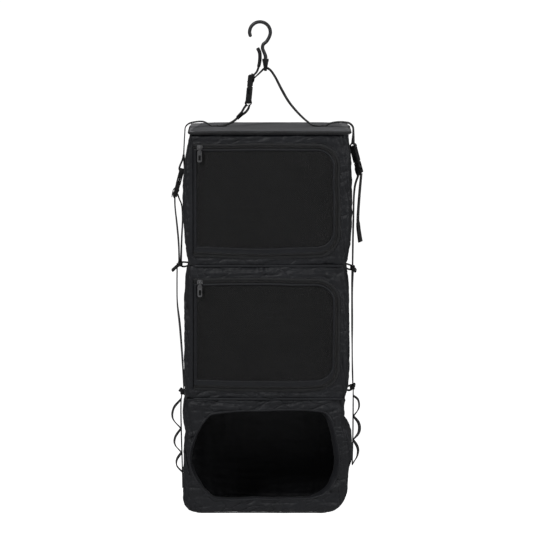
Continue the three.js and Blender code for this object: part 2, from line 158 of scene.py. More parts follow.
def linked(name, data):
    """A new object in the scene."""
    obj = bpy.data.objects.new(name, data)
    bpy.context.scene.collection.objects.link(obj)
    return obj


def new_piece(name, vertices, faces, material, uv=None, smooth=True):
    """A mesh object from points and uv in millimetres."""
    mesh = bpy.data.meshes.new(name)
    mesh.from_pydata([tuple(v) for v in np.asarray(vertices, float) * MM], [], faces)
    if uv is not None:
        layer = mesh.uv_layers.new(name="UVMap")
        index = np.zeros(len(mesh.loops), np.int32)
        mesh.loops.foreach_get("vertex_index", index)
        layer.data.foreach_set("uv", (np.asarray(uv, float)[index] * MM).ravel())
    mesh.materials.append(material)
    if smooth:
        mesh.shade_smooth()
    return linked(name, mesh)


def grid_faces(rows, columns, wrap=False):
    """Quads of a grid whose vertices run row by row. With wrap, the last column joins the first."""
    faces = []
    for r in range(rows - 1):
        for c in range(columns if wrap else columns - 1):
            d = (c + 1) % columns
            faces.append((r * columns + c, r * columns + d, (r + 1) * columns + d, (r + 1) * columns + c))
    return faces


def normals_of(grid):
    """Unit normals of a grid of points, by its rows and columns."""
    n = np.cross(np.gradient(grid, axis=1), np.gradient(grid, axis=0))
    return n / np.maximum(np.linalg.norm(n, axis=-1, keepdims=True), 1e-9)


def apply_modifiers(obj):
    depsgraph = bpy.context.evaluated_depsgraph_get()
    mesh = bpy.data.meshes.new_from_object(obj.evaluated_get(depsgraph))
    obj.modifiers.clear()
    obj.data = mesh
    return obj


def thicken(obj, thickness):
    """Gives a sheet its thickness, behind the face it has."""
    solid = obj.modifiers.new("thickness", "SOLIDIFY")
    solid.thickness = thickness * MM
    solid.offset = -1
    solid.use_even_offset = False
    return apply_modifiers(obj)


def face_outwards(obj):
    work = bmesh.new()
    work.from_mesh(obj.data)
    bmesh.ops.recalc_face_normals(work, faces=work.faces)
    work.to_mesh(obj.data)
    work.free()
    return obj


def split_level(obj, z, upper_name, lower_name):
    """Cuts a finished piece at a height and keeps its shading unbroken across the cut."""
    mesh = obj.data
    keep = mesh.attributes.new("kept_normal", "FLOAT_VECTOR", "POINT")
    normals = np.zeros(len(mesh.vertices) * 3, np.float32)
    mesh.vertices.foreach_get("normal", normals)
    keep.data.foreach_set("vector", normals)
    halves = []
    for name, above in ((upper_name, True), (lower_name, False)):
        work = bmesh.new()
        work.from_mesh(mesh)
        bmesh.ops.bisect_plane(
            work, geom=work.verts[:] + work.edges[:] + work.faces[:], dist=1e-7,
            plane_co=(0, 0, z * MM), plane_no=(0, 0, 1), clear_inner=above, clear_outer=not above)
        half = bpy.data.meshes.new(name)
        work.to_mesh(half)
        work.free()
        for material in mesh.materials:
            half.materials.append(material)
        vectors = np.zeros(len(half.vertices) * 3, np.float32)
        half.attributes["kept_normal"].data.foreach_get("vector", vectors)
        half.attributes.remove(half.attributes["kept_normal"])
        half.shade_smooth()
        vectors = vectors.reshape(-1, 3)
        vectors /= np.maximum(np.linalg.norm(vectors, axis=1, keepdims=True), 1e-9)
        half.normals_split_custom_set_from_vertices([tuple(v) for v in vectors])
        halves.append(linked(name, half))
    bpy.data.objects.remove(obj)
    return halves


def place(obj, body, slot, *nodes):
    """Puts a piece on its body, in place of the CAD nodes that it stands for."""
    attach(obj, body)
    if nodes:
        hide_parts(*nodes)
    return obj


def fold_with(obj):
    """Gives a piece its own copy of its mesh."""
    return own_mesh(obj)


def place_folding(obj, level, body, slot, *nodes):
    """Splits a piece at its compartment's fold line into a whole top and the rest, both placed on the body.
    """
    name = obj.name
    settle(obj, level)
    whole, gathered = split_level(obj, FOLD_LINE[level], name + "_header", name)
    place(whole, body, slot)
    place(gathered, body, slot, *nodes)
    fold_with(gathered)


# ---- Lines --------------------------------------------------------------------------------------------


def curve_through(points, step):
    """Points about a step apart along a centripetal Catmull-Rom curve."""
    p = np.asarray(points, float)
    p = np.vstack([2 * p[0] - p[1], p, 2 * p[-1] - p[-2]])
    out = []
    for i in range(1, len(p) - 2):
        p0, p1, p2, p3 = p[i - 1 : i + 3]
        t = [0.0]
        for a, b in ((p0, p1), (p1, p2), (p2, p3)):
            t.append(t[-1] + max(np.linalg.norm(b - a), 1e-6) ** 0.5)
        count = max(2, int(round(np.linalg.norm(p2 - p1) / step)))
        for u in np.linspace(t[1], t[2], count, endpoint=False):
            a1 = (t[1] - u) / (t[1] - t[0]) * p0 + (u - t[0]) / (t[1] - t[0]) * p1
            a2 = (t[2] - u) / (t[2] - t[1]) * p1 + (u - t[1]) / (t[2] - t[1]) * p2
            a3 = (t[3] - u) / (t[3] - t[2]) * p2 + (u - t[2]) / (t[3] - t[2]) * p3
            b1 = (t[2] - u) / (t[2] - t[0]) * a1 + (u - t[0]) / (t[2] - t[0]) * a2
            b2 = (t[3] - u) / (t[3] - t[1]) * a2 + (u - t[1]) / (t[3] - t[1]) * a3
            out.append((t[2] - u) / (t[2] - t[1]) * b1 + (u - t[1]) / (t[2] - t[1]) * b2)
    out.append(p[-2])
    return np.array(out)


def lengths_along(line):
    """The length of a line of points up to each of them."""
    return np.concatenate([[0], np.cumsum(np.linalg.norm(np.diff(line, axis=0), axis=1))])


def at_depth(line, y):
    """(x, z) points as points in space. y is one depth, or one for each point."""
    line = np.asarray(line, float)
    return np.column_stack([line[:, 0], np.broadcast_to(y, len(line)), line[:, 1]])


def at_height(line, z):
    """(x, y) points as points in space, all at one height."""
    return np.column_stack([line, np.full(len(line), z)])


def in_plane(x, z):
    """Points in one upright plane, for noise that does not change with depth."""
    return np.stack([x, np.zeros_like(x), z], axis=-1)


def spread(line, count):
    """A line of points resampled to count points an equal distance apart."""
    line = np.asarray(line, float)
    length = lengths_along(line)
    at = np.linspace(0, length[-1], count)
    return np.stack([np.interp(at, length, line[:, k]) for k in range(line.shape[1])], axis=1)


def arc(cx, cz, r, start, end, count):
    a = np.radians(np.linspace(start, end, count))
    return np.stack([cx + r * np.cos(a), cz + r * np.sin(a)], axis=1)


# ---- Materials ----------------------------------------------------------------------------------------


WAVE_REPEAT = 0.314  # a wave texture repeats every 0.314 / its scale
WEBBING_RIB = 1.25


class Shader:
    """A small wrapper that makes a material's nodes and links."""

    def __init__(self, name, color, roughness, metallic=0.0, **sockets):
        self.material = bpy.data.materials.new(name)
        self.material.use_nodes = True
        self.tree = self.material.node_tree
        self.shader = self.tree.nodes["Principled BSDF"]
        self.shader.inputs["Base Color"].default_value = (*color, 1)
        self.shader.inputs["Roughness"].default_value = roughness
        self.shader.inputs["Metallic"].default_value = metallic
        for socket, value in sockets.items():
            self.shader.inputs[socket.replace("_", " ")].default_value = value
        self.normal = None

    def node(self, kind, **values):
        made = self.tree.nodes.new(kind)
        for key, value in values.items():
            if key in made.inputs:
                made.inputs[key].default_value = value
            else:
                setattr(made, key, value)
        return made

    def link(self, source, target):
        self.tree.links.new(source, target)

    def coordinates(self, space, turn=0.0):
        source = self.node("ShaderNodeTexCoord")
        mapping = self.node("ShaderNodeMapping")
        mapping.inputs["Rotation"].default_value = (0, 0, turn)
        self.link(source.outputs[space], mapping.inputs["Vector"])
        return mapping.outputs["Vector"]

    def noise(self, vector, scale, detail=4.0, rough=0.55):
        made = self.node("ShaderNodeTexNoise", Scale=scale, Detail=detail, Roughness=rough)
        self.link(vector, made.inputs["Vector"])
        return made.outputs["Fac"]

    def bands(self, vector, period, direction="X"):
        """Bands that repeat every period, in millimetres."""
        made = self.node("ShaderNodeTexWave", Scale=WAVE_REPEAT / (period * MM))
        made.bands_direction = direction
        self.link(vector, made.inputs["Vector"])
        return made.outputs["Fac"]

    def math(self, operation, a, b):
        made = self.node("ShaderNodeMath", operation=operation)
        for socket, value in zip(made.inputs, (a, b)):
            if isinstance(value, (int, float)):
                socket.default_value = value
            else:
                self.link(value, socket)
        return made.outputs[0]

    def ramp(self, fac, stops):
        made = self.node("ShaderNodeValToRGB")
        elements = made.color_ramp.elements
        while len(elements) < len(stops):
            elements.new(0.5)
        for element, (at, color) in zip(elements, stops):
            element.position = at
            element.color = (*color, 1) if isinstance(color, tuple) else (color, color, color, 1)
        self.link(fac, made.inputs["Fac"])
        return made.outputs["Color"]

    def color(self, output):
        self.link(output, self.shader.inputs["Base Color"])

    def roughness(self, output):
        self.link(output, self.shader.inputs["Roughness"])

    def bump(self, height, distance, strength=1.0):
        made = self.node("ShaderNodeBump", Distance=distance, Strength=strength)
        self.link(height, made.inputs["Height"])
        if self.normal is not None:
            self.link(self.normal, made.inputs["Normal"])
        self.normal = made.outputs["Normal"]
        self.link(self.normal, self.shader.inputs["Normal"])


def scaled(color, factor):
    return tuple(c * factor for c in color)


def cloth_material(name, color, roughness, thread=0.45, sheen=0.25, crush=0.00035):
    """Plain-woven nylon: fine threads, a crushed surface, and patches that have rubbed paler."""
    s = Shader(name, color, roughness, Sheen_Weight=sheen, Sheen_Roughness=0.4, Specular_IOR_Level=0.35)
    uv = s.coordinates("UV")
    place_in_space = s.coordinates("Object")
    warp = s.bands(uv, thread, "X")
    weft = s.bands(uv, thread, "Y")
    weave = s.math("MULTIPLY", warp, weft)
    wide = s.noise(place_in_space, 9, 3)
    fine = s.noise(place_in_space, 160, 5, 0.65)
    rub = s.math("ADD", s.math("MULTIPLY", wide, 0.65), s.math("MULTIPLY", fine, 0.35))
    s.color(s.ramp(rub, [(0.3, scaled(color, 0.78)), (0.55, color), (0.75, scaled(color, 1.32))]))
    s.roughness(s.ramp(fine, [(0.3, roughness - 0.07), (0.7, roughness + 0.08)]))
    s.bump(s.noise(place_in_space, 240, 3, 0.6), crush)
    s.bump(weave, 0.00008, 0.7)
    return s.material


def webbing_material(name, color):
    """Flat webbing: twill ribs across its face, read along its own length."""
    s = Shader(name, color, 0.58, Sheen_Weight=0.3, Sheen_Roughness=0.35, Specular_IOR_Level=0.4)
    twill = s.bands(s.coordinates("UV", turn=math.radians(38)), WEBBING_RIB)
    twill_back = s.bands(s.coordinates("UV", turn=math.radians(-38)), WEBBING_RIB)
    weave = s.math("MAXIMUM", twill, twill_back)
    worn = s.noise(s.coordinates("Object"), 60, 4)
    shade = s.math("ADD", s.math("MULTIPLY", weave, 0.45), s.math("MULTIPLY", worn, 0.55))
    s.color(s.ramp(shade, [(0.25, scaled(color, 0.6)), (0.6, color), (0.85, scaled(color, 1.7))]))
    s.bump(weave, 0.00022)
    return s.material


def plastic_material(name, color, roughness=0.36):
    """Moulded acetal: faintly pebbled, with handling marks."""
    s = Shader(name, color, roughness, Specular_IOR_Level=0.5, Coat_Weight=0.08, Coat_Roughness=0.3)
    space = s.coordinates("Object")
    marks = s.noise(space, 90, 5, 0.7)
    s.color(s.ramp(marks, [(0.35, scaled(color, 0.85)), (0.7, scaled(color, 1.25))]))
    s.roughness(s.ramp(s.noise(space, 45, 4), [(0.3, roughness - 0.06), (0.7, roughness + 0.12)]))
    s.bump(s.noise(space, 1600, 2), 0.00004)
    return s.material


def metal_material(name, color, roughness):
    """Gunmetal plating, rubbed brighter in places."""
    s = Shader(name, color, roughness, metallic=1.0)
    space = s.coordinates("Object")
    rub = s.noise(space, 220, 5, 0.65)
    s.color(s.ramp(rub, [(0.35, scaled(color, 0.7)), (0.55, color), (0.8, scaled(color, 1.8))]))
    s.roughness(s.ramp(s.noise(space, 500, 3), [(0.3, roughness - 0.1), (0.7, roughness + 0.14)]))
    s.bump(s.noise(space, 1200, 2), 0.00003)
    return s.material


def board_material(name, color):
    """Pressed fibre board with a fine speckle."""
    s = Shader(name, color, 0.6)
    speckle = s.noise(s.coordinates("Object"), 700, 4, 0.7)
    s.color(s.ramp(speckle, [(0.35, scaled(color, 0.8)), (0.65, scaled(color, 1.15))]))
    s.bump(speckle, 0.00006)
    return s.material


NYLON = cloth_material("nylon", (0.0163, 0.0172, 0.0208), 0.5, sheen=0.05)
LID_CLOTH = cloth_material("lid_cloth", (0.106, 0.108, 0.117), 0.55, thread=0.55, sheen=0.1, crush=0.00025)
NET = cloth_material("net", (0.0080, 0.0080, 0.0088), 0.62, thread=0.3, crush=0.0001)
TAPE = webbing_material("zip_tape", (0.0130, 0.0135, 0.0150))
COIL = plastic_material("zip_coil", (0.0120, 0.0120, 0.0130), 0.42)
WEBBING = webbing_material("webbing", (0.0075, 0.0075, 0.0082))
THREAD = cloth_material("thread", (0.0230, 0.0240, 0.0270), 0.5, thread=0.2, crush=0.00005)
PLASTIC = plastic_material("buckle_plastic", (0.0095, 0.0095, 0.0102))
HOOK_PLASTIC = plastic_material("hook_plastic", (0.0290, 0.0300, 0.0325), 0.4)
METAL = metal_material("zip_metal", (0.30, 0.30, 0.31), 0.34)
BOARD = board_material("board", (0.24, 0.24, 0.25))

# ---- Fabric walls -------------------------------------------------------------------------------------

FRONT_EDGE_RADIUS = 10.0
REAR_EDGE_RADIUS = 24.0
BASE_EDGE_RADIUS = 11.0
FABRIC = 1.0
STRIP_ROLL = 2.4  # how far the cloth between a zip and a seam rolls forward
STRIP_WIDTH = 21.0
TUCK = 2.4  # how far a seam draws the cloth in
TUCK_REACH = 2.6
SIDE_REACH = 20  # how far in from its sides the front is gathered upright
KEEPER_PINCH = 7.0  # how far a keeper's stitching draws the wall in at a seam
# The walls' outer lines at the front, from seam to seam, as (x, z).
LEFT_LINES = {
    "upper": [(-136, TOP["upper"]), (-146, -250), (-152.5, -310), (-153, -370), (-149, -430), (-141, -475)],
    "middle": [(-141, -475), (-148, -500), (-151, -560), (-151.5, -640), (-152, -700), (-149, -742)],
    "lower": [(-149, -742), (-153, -760), (-153, -785), (-149.5, -807), (-152.5, -835), (-153.5, -870),
              (-154, -937), (-151, -958), (-141, -970), (-134, -974)],
}
RIGHT_LINES = {
    "upper": [(172, TOP["upper"]), (178, -260), (181, -330), (180.5, -390), (176, -440), (168.5, -475)],
    "middle": [(168.5, -475), (174, -510), (176.5, -580), (176.5, -650), (174, -710), (168, -742)],
    "lower": [(168, -742), (165.5, -756), (166.5, -775), (166.5, -795), (175, -811), (182, -830),
              (183, -862), (176.5, -885), (174, -915), (171.5, -937), (163, -956), (150, -968), (138, -974)],
}


def side_lines(level):
    """Functions of height that give a compartment's left and right outer lines."""
    curves = [curve_through(lines[level], 4)[::-1] for lines in (LEFT_LINES, RIGHT_LINES)]
    return [lambda z, c=c: np.interp(z, c[:, 1], c[:, 0]) for c in curves]


def raised(track, rise):
    """The door's outline with its lower run lifted."""
    return {**track, "bottom": track["bottom"] + rise}


def door_distance(level, x, z, rise=0.0):
    """How far outside the middle of the zip a point lies; less than zero is on the door."""
    t = raised(TRACK[level], rise)
    half = (t["top"] - t["bottom"]) / 2
    dx = x - (t["right"] - DOOR_CORNER)
    dz = np.abs(z - (t["top"] + t["bottom"]) / 2) - (half - DOOR_CORNER)
    outside = np.hypot(np.maximum(dx, 0), np.maximum(dz, 0)) + np.minimum(np.maximum(dx, dz), 0) - DOOR_CORNER
    return np.maximum(outside, t["left"] - x)


def front_base(level, x, z):
    """The front's smooth place in depth: crowned, and rolled back at its sides and along the base."""
    left, right = side_lines(level)
    top, bottom = TOP[level], BOTTOM[level]
    xl, xr = left(z), right(z)
    across = np.clip((x - xl) / (xr - xl), 0, 1)
    down = np.clip((top - z) / (top - bottom), 0, 1)
    y = -HALF_DEPTH + 3.0 - 5.0 * (np.sin(np.pi * across) * np.sin(np.pi * down)) ** 0.6
    inside = np.clip(FRONT_EDGE_RADIUS - np.minimum(x - xl, xr - x), 0, FRONT_EDGE_RADIUS)
    y = y + FRONT_EDGE_RADIUS - np.sqrt(np.maximum(FRONT_EDGE_RADIUS**2 - inside**2, 0))
    if level == "lower":
        drop = np.clip(bottom + BASE_EDGE_RADIUS - z, 0, BASE_EDGE_RADIUS)
        y = y + BASE_EDGE_RADIUS - np.sqrt(np.maximum(BASE_EDGE_RADIUS**2 - drop**2, 0))
    return y


def seam_tuck(level, z):
    """How far the cloth is drawn in along a compartment's seams. The base's edge has none."""
    near = np.exp(-((TOP[level] - z) / TUCK_REACH) ** 2)
    if level != "lower":
        near = near + np.exp(-((z - BOTTOM[level]) / TUCK_REACH) ** 2)
    return -TUCK * near


def front_relief(level, x, z, seed):
    """How far the front cloth stands out: long creases, slanting drags at the corners, puckers at seams."""
    left, right = side_lines(level)
    top, bottom = TOP[level], BOTTOM[level]
    p = in_plane(x, z)
    slanted = in_plane(x + 1.3 * z, z - 0.5 * x)
    seam = np.exp(-(top - z) / 14) + np.exp(-(z - bottom) / 14)
    side = np.exp(-np.minimum(x - left(z), right(z) - x) / SIDE_REACH)
    swept = in_plane(x + 0.16 * z, z)
    creases = -folds(p, (60, 30, 14), seed) * 3.2 * (1 - 0.7 * side)
    drags = -folds(slanted, (50, 30, 20), seed + 7) * 2.9
    upright = -folds(swept, (10, 30, 110), seed + 4) * 4.4 * side
    puckers = folds(p, (8.5, 30, 24), seed + 2) * 1.9 * seam
    upright -= 3.2 * crease_lines(swept, (9, 30, 120), seed + 13, 0.17) * side
    drags -= 1.5 * crease_lines(slanted, (40, 30, 18), seed + 14, 0.1) * (1 - side)
    relief = creases + drags + upright + puckers + 0.6 * crinkle(p, seed + 9)
    if level == "lower":
        return relief * 1.2 + seam_tuck(level, z)
    beyond = door_distance(level, x, z) - TRACK_OUTER
    roll = STRIP_ROLL * np.sin(np.pi * np.clip(beyond / STRIP_WIDTH, 0, 1))
    return relief * np.clip(beyond / 6, 0.1, 1) + roll + seam_tuck(level, z)


def front_y(level, x, z, seed):
    """The depth of the front cloth at (x, z)."""
    x, z = np.asarray(x, float), np.asarray(z, float)
    return front_base(level, x, z) - front_relief(level, x, z, seed)


def orient(obj, inside):
    """Turns an open sheet's faces away from a point inside the object."""
    work = bmesh.new()
    work.from_mesh(obj.data)
    centre = Vector(inside) * MM
    facing = sum(f.normal.dot(f.calc_center_median() - centre) * f.calc_area() for f in work.faces)
    if facing < 0:
        bmesh.ops.reverse_faces(work, faces=work.faces)
        work.to_mesh(obj.data)
    work.free()
    return obj


def cloth_sheet(name, grid, uv, thickness, inside=None, wrap=False, material=NYLON):
    """A grid of points as cloth that faces away from a point inside the object, thickened behind its face."""
    obj = new_piece(name, grid.reshape(-1, 3), grid_faces(*grid.shape[:2], wrap=wrap), material,
                    uv.reshape(-1, 2))
    if inside is not None:
        orient(obj, inside)
    return face_outwards(thicken(obj, thickness))


def settle(obj, level):
    """The slack of sewn cloth: zip runs bow and wander, and seams waver, alike in every piece they join."""
    co = np.zeros(len(obj.data.vertices) * 3, np.float32)
    obj.data.vertices.foreach_get("co", co)
    p = co.reshape(-1, 3).astype(float) / MM
    x, z = p[:, 0], p[:, 2]
    seam_wave = 1.3 * noise(np.column_stack([x, p[:, 1], 0 * z]), (75, 75, 50), 91)
    z_shift = seam_wave * (np.exp(-np.abs(z - TOP["middle"]) / 22) + np.exp(-np.abs(z - TOP["lower"]) / 22))
    if level in TRACK and p[:, 1].mean() < 0:
        track = TRACK[level]
        u = np.clip((x - track["left"]) / (track["right"] - track["left"]), 0, 1)
        v = np.clip((TOP[level] - z) / (TOP[level] - BOTTOM[level]), 0, 1)
        held = np.clip(np.minimum(v, 1 - v) / 0.08, 0, 1)
        clear = np.clip((x - track["left"] - 14) / 46, 0, 1)
        hold = held * held * (3 - 2 * held) * clear * clear * (3 - 2 * clear)
        flat = np.column_stack([x, 0 * x, z])
        z_shift += hold * (np.sin(np.pi * u) * (1.6 - 6.0 * v) + 1.5 * noise(flat, (85, 50, 70), 93))
        p[:, 0] += hold * 1.8 * noise(flat, (80, 50, 60), 95)
        p[:, 1] += hold * 1.6 * noise(flat, (60, 50, 48), 97)
    p[:, 2] += z_shift
    obj.data.vertices.foreach_set("co", (p * MM).astype(np.float32).ravel())
    obj.data.update()
    return obj


def front_panel(level, hole, seed, rings, count):
    """The front as rings of cloth from the edge of its opening out to its seams. hole holds four lines
    of points, clockwise from the top left: top, right, bottom, left."""
    left, right = side_lines(level)
    top, bottom = TOP[level], BOTTOM[level]
    share = np.linspace(0, 1, count)
    height = top - (top - bottom) * share
    outer = [
        np.stack([left(top) + (right(top) - left(top)) * share, np.full(count, top)], axis=1),
        np.stack([right(height), height], axis=1),
        np.stack([right(bottom) + (left(bottom) - right(bottom)) * share, np.full(count, bottom)], axis=1),
        np.stack([left(height), height], axis=1)[::-1],
    ]
    inner = np.vstack([spread(line, count)[:-1] for line in hole])
    outer = np.vstack([line[:-1] for line in outer])
    share_out = np.linspace(0, 1, rings)[:, None, None]
    flat = inner * (1 - share_out) + outer * share_out
    x, z = flat[..., 0], flat[..., 1]
    grid = np.stack([x, front_y(level, x, z, seed), z], axis=-1)
    return cloth_sheet(f"{level}_front", grid, flat, FABRIC, (BODY_X, HALF_DEPTH, (top + bottom) / 2),
                       wrap=True)


def wall_line(level, z, inset=0.0):
    """A compartment's outline at one height, from the front left edge round the back to the front right."""
    left, right = side_lines(level)
    top, bottom = TOP[level], BOTTOM[level]
    xl, xr = left(z) + inset, right(z) - inset
    down = (top - z) / (top - bottom)
    front = float(front_base(level, np.array(left(z)), np.array(z)))
    back = HALF_DEPTH - 3 - inset + 7.0 * math.sin(math.pi * min(down, 1.0)) ** 0.7
    if level == "lower":
        drop = min(max(bottom + BASE_EDGE_RADIUS - z, 0), BASE_EDGE_RADIUS)
        back -= BASE_EDGE_RADIUS - math.sqrt(BASE_EDGE_RADIUS**2 - drop**2)
    r = REAR_EDGE_RADIUS
    side_y = np.linspace(front, back - r, 58)
    near_upper, near_lower = (math.exp(-((z - TOP[below]) / 9) ** 2) for below in ("middle", "lower"))
    drawn = KEEPER_PINCH * (near_upper + 0.6 * near_lower)
    waist = 3.0 * np.sin(np.pi * (side_y - front) / (back - r - front)) * math.sin(math.pi * down)
    waist = waist + drawn * np.exp(-((side_y / 17) ** 2))
    rear = np.linspace(xl + r, xr - r, 96)
    return np.vstack([
        np.stack([xl + waist, side_y], axis=1)[:-1],
        arc(xl + r, back - r, r, 180, 90, 13)[:-1],
        np.stack([rear, np.full_like(rear, back)], axis=1)[:-1],
        arc(xr - r, back - r, r, 90, 0, 13)[:-1],
        np.stack([xr - waist, side_y], axis=1)[::-1],
    ])


def seam_allowance(level):
    """The turned-in edge of the cloth behind a seam, all the way round the top of a compartment."""
    inset, front_inset, reach = 3.0, 5.5, 5.0
    line = wall_line(level, TOP[level], inset)
    line[:, 1] = np.maximum(line[:, 1], line[0, 1] + front_inset)
    grid = np.array([at_height(line, TOP[level] + shift) for shift in np.linspace(reach, -reach, 5)])
    uv = np.stack([np.tile(lengths_along(line), (len(grid), 1)), grid[..., 2]], axis=-1)
    obj = cloth_sheet(f"{level}_seam_allowance", grid, uv, 0.7, (BODY_X, 0, TOP[level]), wrap=True)
    place(obj, FOLD_BODY[level], "nylon_cloth")


def wall_wrap(level, seed, rows):
    """The left side, back and right side as one cloth, from the front left edge round to the front right."""
    top, bottom = TOP[level], BOTTOM[level]
    grid = np.array([at_height(wall_line(level, z), z) for z in np.linspace(top, bottom, rows)])
    out = normals_of(grid)
    if out[rows // 2, 5, 0] > 0:
        out = -out
    along = np.array([lengths_along(row) for row in grid])
    z = grid[..., 2]
    seam = np.exp(-(top - z) / 16) + np.exp(-(z - bottom) / 16)
    on_side = 1 / (1 + np.exp((grid[..., 1] - HALF_DEPTH + 30) / 8))
    upright = folds(grid, (15, 13, 95), seed) * (0.8 + 1.5 * on_side)
    level_folds = folds(grid, (64, 64, 14), seed + 4) * 1.7
    puckers = folds(grid, (10, 10, 28), seed + 2) * 1.6 * seam
    edge = np.clip(np.minimum(along, along[:, -1:] - along) / 10, 0, 1)
    relief = (upright + level_folds + puckers + crinkle(grid, seed + 6)) * edge + seam_tuck(level, z)
    grid = grid + out * relief[..., None]
    return cloth_sheet(f"{level}_walls", grid, np.stack([along, z], axis=-1), FABRIC,
                       (BODY_X, 0, (top + bottom) / 2))


def sweep(name, path, section, material, side=(0, 1, 0), closed=False, turn=None, swell=None):
    """Carries a closed outline along a line of points. section's first number lies along side, and its
    second along the line's normal. turn is a twist in radians and swell a scale, at each point."""
    path = np.asarray(path, float)
    n = len(path)
    if closed:
        tangent = np.roll(path, -1, axis=0) - np.roll(path, 1, axis=0)
    else:
        tangent = np.gradient(path, axis=0)
    tangent /= np.linalg.norm(tangent, axis=1, keepdims=True)
    s = np.tile(np.asarray(side, float), (n, 1))
    s -= (s * tangent).sum(1, keepdims=True) * tangent
    s /= np.linalg.norm(s, axis=1, keepdims=True)
    normal = np.cross(tangent, s)
    if turn is not None:
        c, k = np.cos(turn)[:, None], np.sin(turn)[:, None]
        s, normal = s * c + normal * k, normal * c - s * k
    swell = np.ones(n) if swell is None else np.asarray(swell, float)
    section = np.asarray(section, float)
    swollen = section[None] * swell[:, None, None]
    points = path[:, None] + swollen[..., :1] * s[:, None] + swollen[..., 1:] * normal[:, None]
    m = len(section)
    faces = grid_faces(n, m, wrap=True)
    if closed:
        faces += [((n - 1) * m + i, (n - 1) * m + (i + 1) % m, (i + 1) % m, i) for i in range(m)]
    else:
        faces += [tuple(range(m))[::-1], tuple((n - 1) * m + i for i in range(m))]
    uv = np.stack([np.repeat(lengths_along(path), m), np.tile(section[:, 0], n)], axis=1)
    return face_outwards(new_piece(name, points.reshape(-1, 3), faces, material, uv))


def circle(radius, count, squeeze=1.0):
    a = np.linspace(0, 2 * np.pi, count, endpoint=False)
    return np.stack([radius * np.cos(a), radius * squeeze * np.sin(a)], axis=1)


def flat_section(width, thickness):
    """A strap's cross-section: a flat band with rounded selvedges."""
    r = thickness / 2
    y = np.linspace(-(width / 2 - r), width / 2 - r, 9)
    top = np.stack([y, np.full_like(y, r)], axis=1)
    right = np.array([[width / 2 - 0.3 * r, 0.7 * r], [width / 2, 0], [width / 2 - 0.3 * r, -0.7 * r]])
    return np.vstack([top, right, -top, -right])


def joined_pieces(name, pieces):
    """Joins finished meshes of one object into one mesh."""
    work = bmesh.new()
    for piece in pieces:
        work.from_mesh(piece.data)
    mesh = bpy.data.meshes.new(name)
    work.to_mesh(mesh)
    work.free()
    for material in pieces[0].data.materials:
        mesh.materials.append(material)
    for piece in pieces:
        bpy.data.objects.remove(piece)
    return linked(name, mesh)


def copies(name, template, faces, centres, axes, material):
    """One mesh of many small copies. axes holds three unit vectors for each centre."""
    template = np.asarray(template, float)
    points = centres[:, None, :] + np.einsum("tk,nkj->ntj", template, axes)
    m = len(template)
    all_faces = [tuple(i * m + v for v in f) for i in range(len(centres)) for f in faces]
    return new_piece(name, points.reshape(-1, 3), all_faces, material)


def frames_along(line, front):
    """At each point of a line: its direction, the direction across it, and the direction out of the cloth."""
    tangent = np.gradient(line, axis=0)
    tangent /= np.linalg.norm(tangent, axis=1, keepdims=True)
    out = np.broadcast_to(np.asarray(front, float), line.shape)
    out = out - (out * tangent).sum(1, keepdims=True) * tangent
    out /= np.linalg.norm(out, axis=1, keepdims=True)
    return np.stack([tangent, np.cross(out, tangent), out], axis=1)


LOZENGE = [(x, y * w, z * w) for x, w in ((-1, 0.35), (-0.6, 1), (0.6, 1), (1, 0.35))
           for y, z in ((1, 0), (0, 1), (-1, 0), (0, -1))]
LOZENGE_FACES = grid_faces(4, 4, wrap=True) + [(3, 2, 1, 0), (12, 13, 14, 15)]


def stitches(name, line, front=(0, -1, 0), pitch=3.4, length=2.5, radius=0.26):
    """A row of thread stitches, half sunk in the cloth that the line follows."""
    line = spread(line, max(3, int(lengths_along(line)[-1] / pitch)))
    template = np.array(LOZENGE) * (length / 2, radius * 1.3, radius)
    return copies(name, template, LOZENGE_FACES, line, frames_along(line, front), THREAD)


def door_lines(track, grow, left):
    """A door outline's four sides, clockwise from the top left, grown outwards from the middle of the zip."""
    r = DOOR_CORNER + grow
    right, top, bottom = track["right"] + grow, track["top"] + grow, track["bottom"] - grow
    upper_arc = arc(right - r, top - r, r, 90, 0, 25)
    lower_arc = arc(right - r, bottom + r, r, 0, -90, 25)
    return [
        np.vstack([[left, top], upper_arc[:13]]),
        np.vstack([upper_arc[12:], lower_arc[:13]]),
        np.vstack([lower_arc[12:], [left, bottom]]),
        np.array([[left, bottom], [left, top]], float),
    ]


def zip_line(track, grow, left, step=1.6):
    """The zip's run along the top, down the right side and back along the bottom, as (x, z)."""
    sides = door_lines(track, grow, left)[:3]
    line = np.vstack([sides[0], sides[1][1:], sides[2][1:]])
    return spread(line, int(lengths_along(line)[-1] / step))


def on_front(level, line, seed, lift=0.0):
    """(x, z) points laid on the front cloth."""
    return at_depth(line, front_y(level, line[:, 0], line[:, 1], seed) - lift)


# ---- Zips and doors -----------------------------------------------------------------------------------

TAPE_HALF = 0.7  # from the middle of the zip to each tape's edge
TAPE_COUNT = 300  # points along a tape
COIL_PITCH = 1.6
COIL_LIFT = 0.9
SILL_RISE = 6.0  # the door's lower edge is this much wider than its other edges
NET_EDGE = 5.0  # the net ends this far inside the zip, under the door's binding
ZIP_PLANE = -HALF_DEPTH  # the tapes' and the door's front face


def band_grid(rings):
    """Points of a band around the door, a ring for each (track, grow, left, y)."""
    grid = []
    for track, grow, left, y in rings:
        sides = [spread(line, 120)[:-1] for line in door_lines(track, grow, left)]
        grid.append(at_depth(np.vstack(sides), y))
    return np.array(grid)


def behind_door(track):
    """A point far behind the middle of a door."""
    return (BODY_X, HALF_DEPTH, (track["top"] + track["bottom"]) / 2)


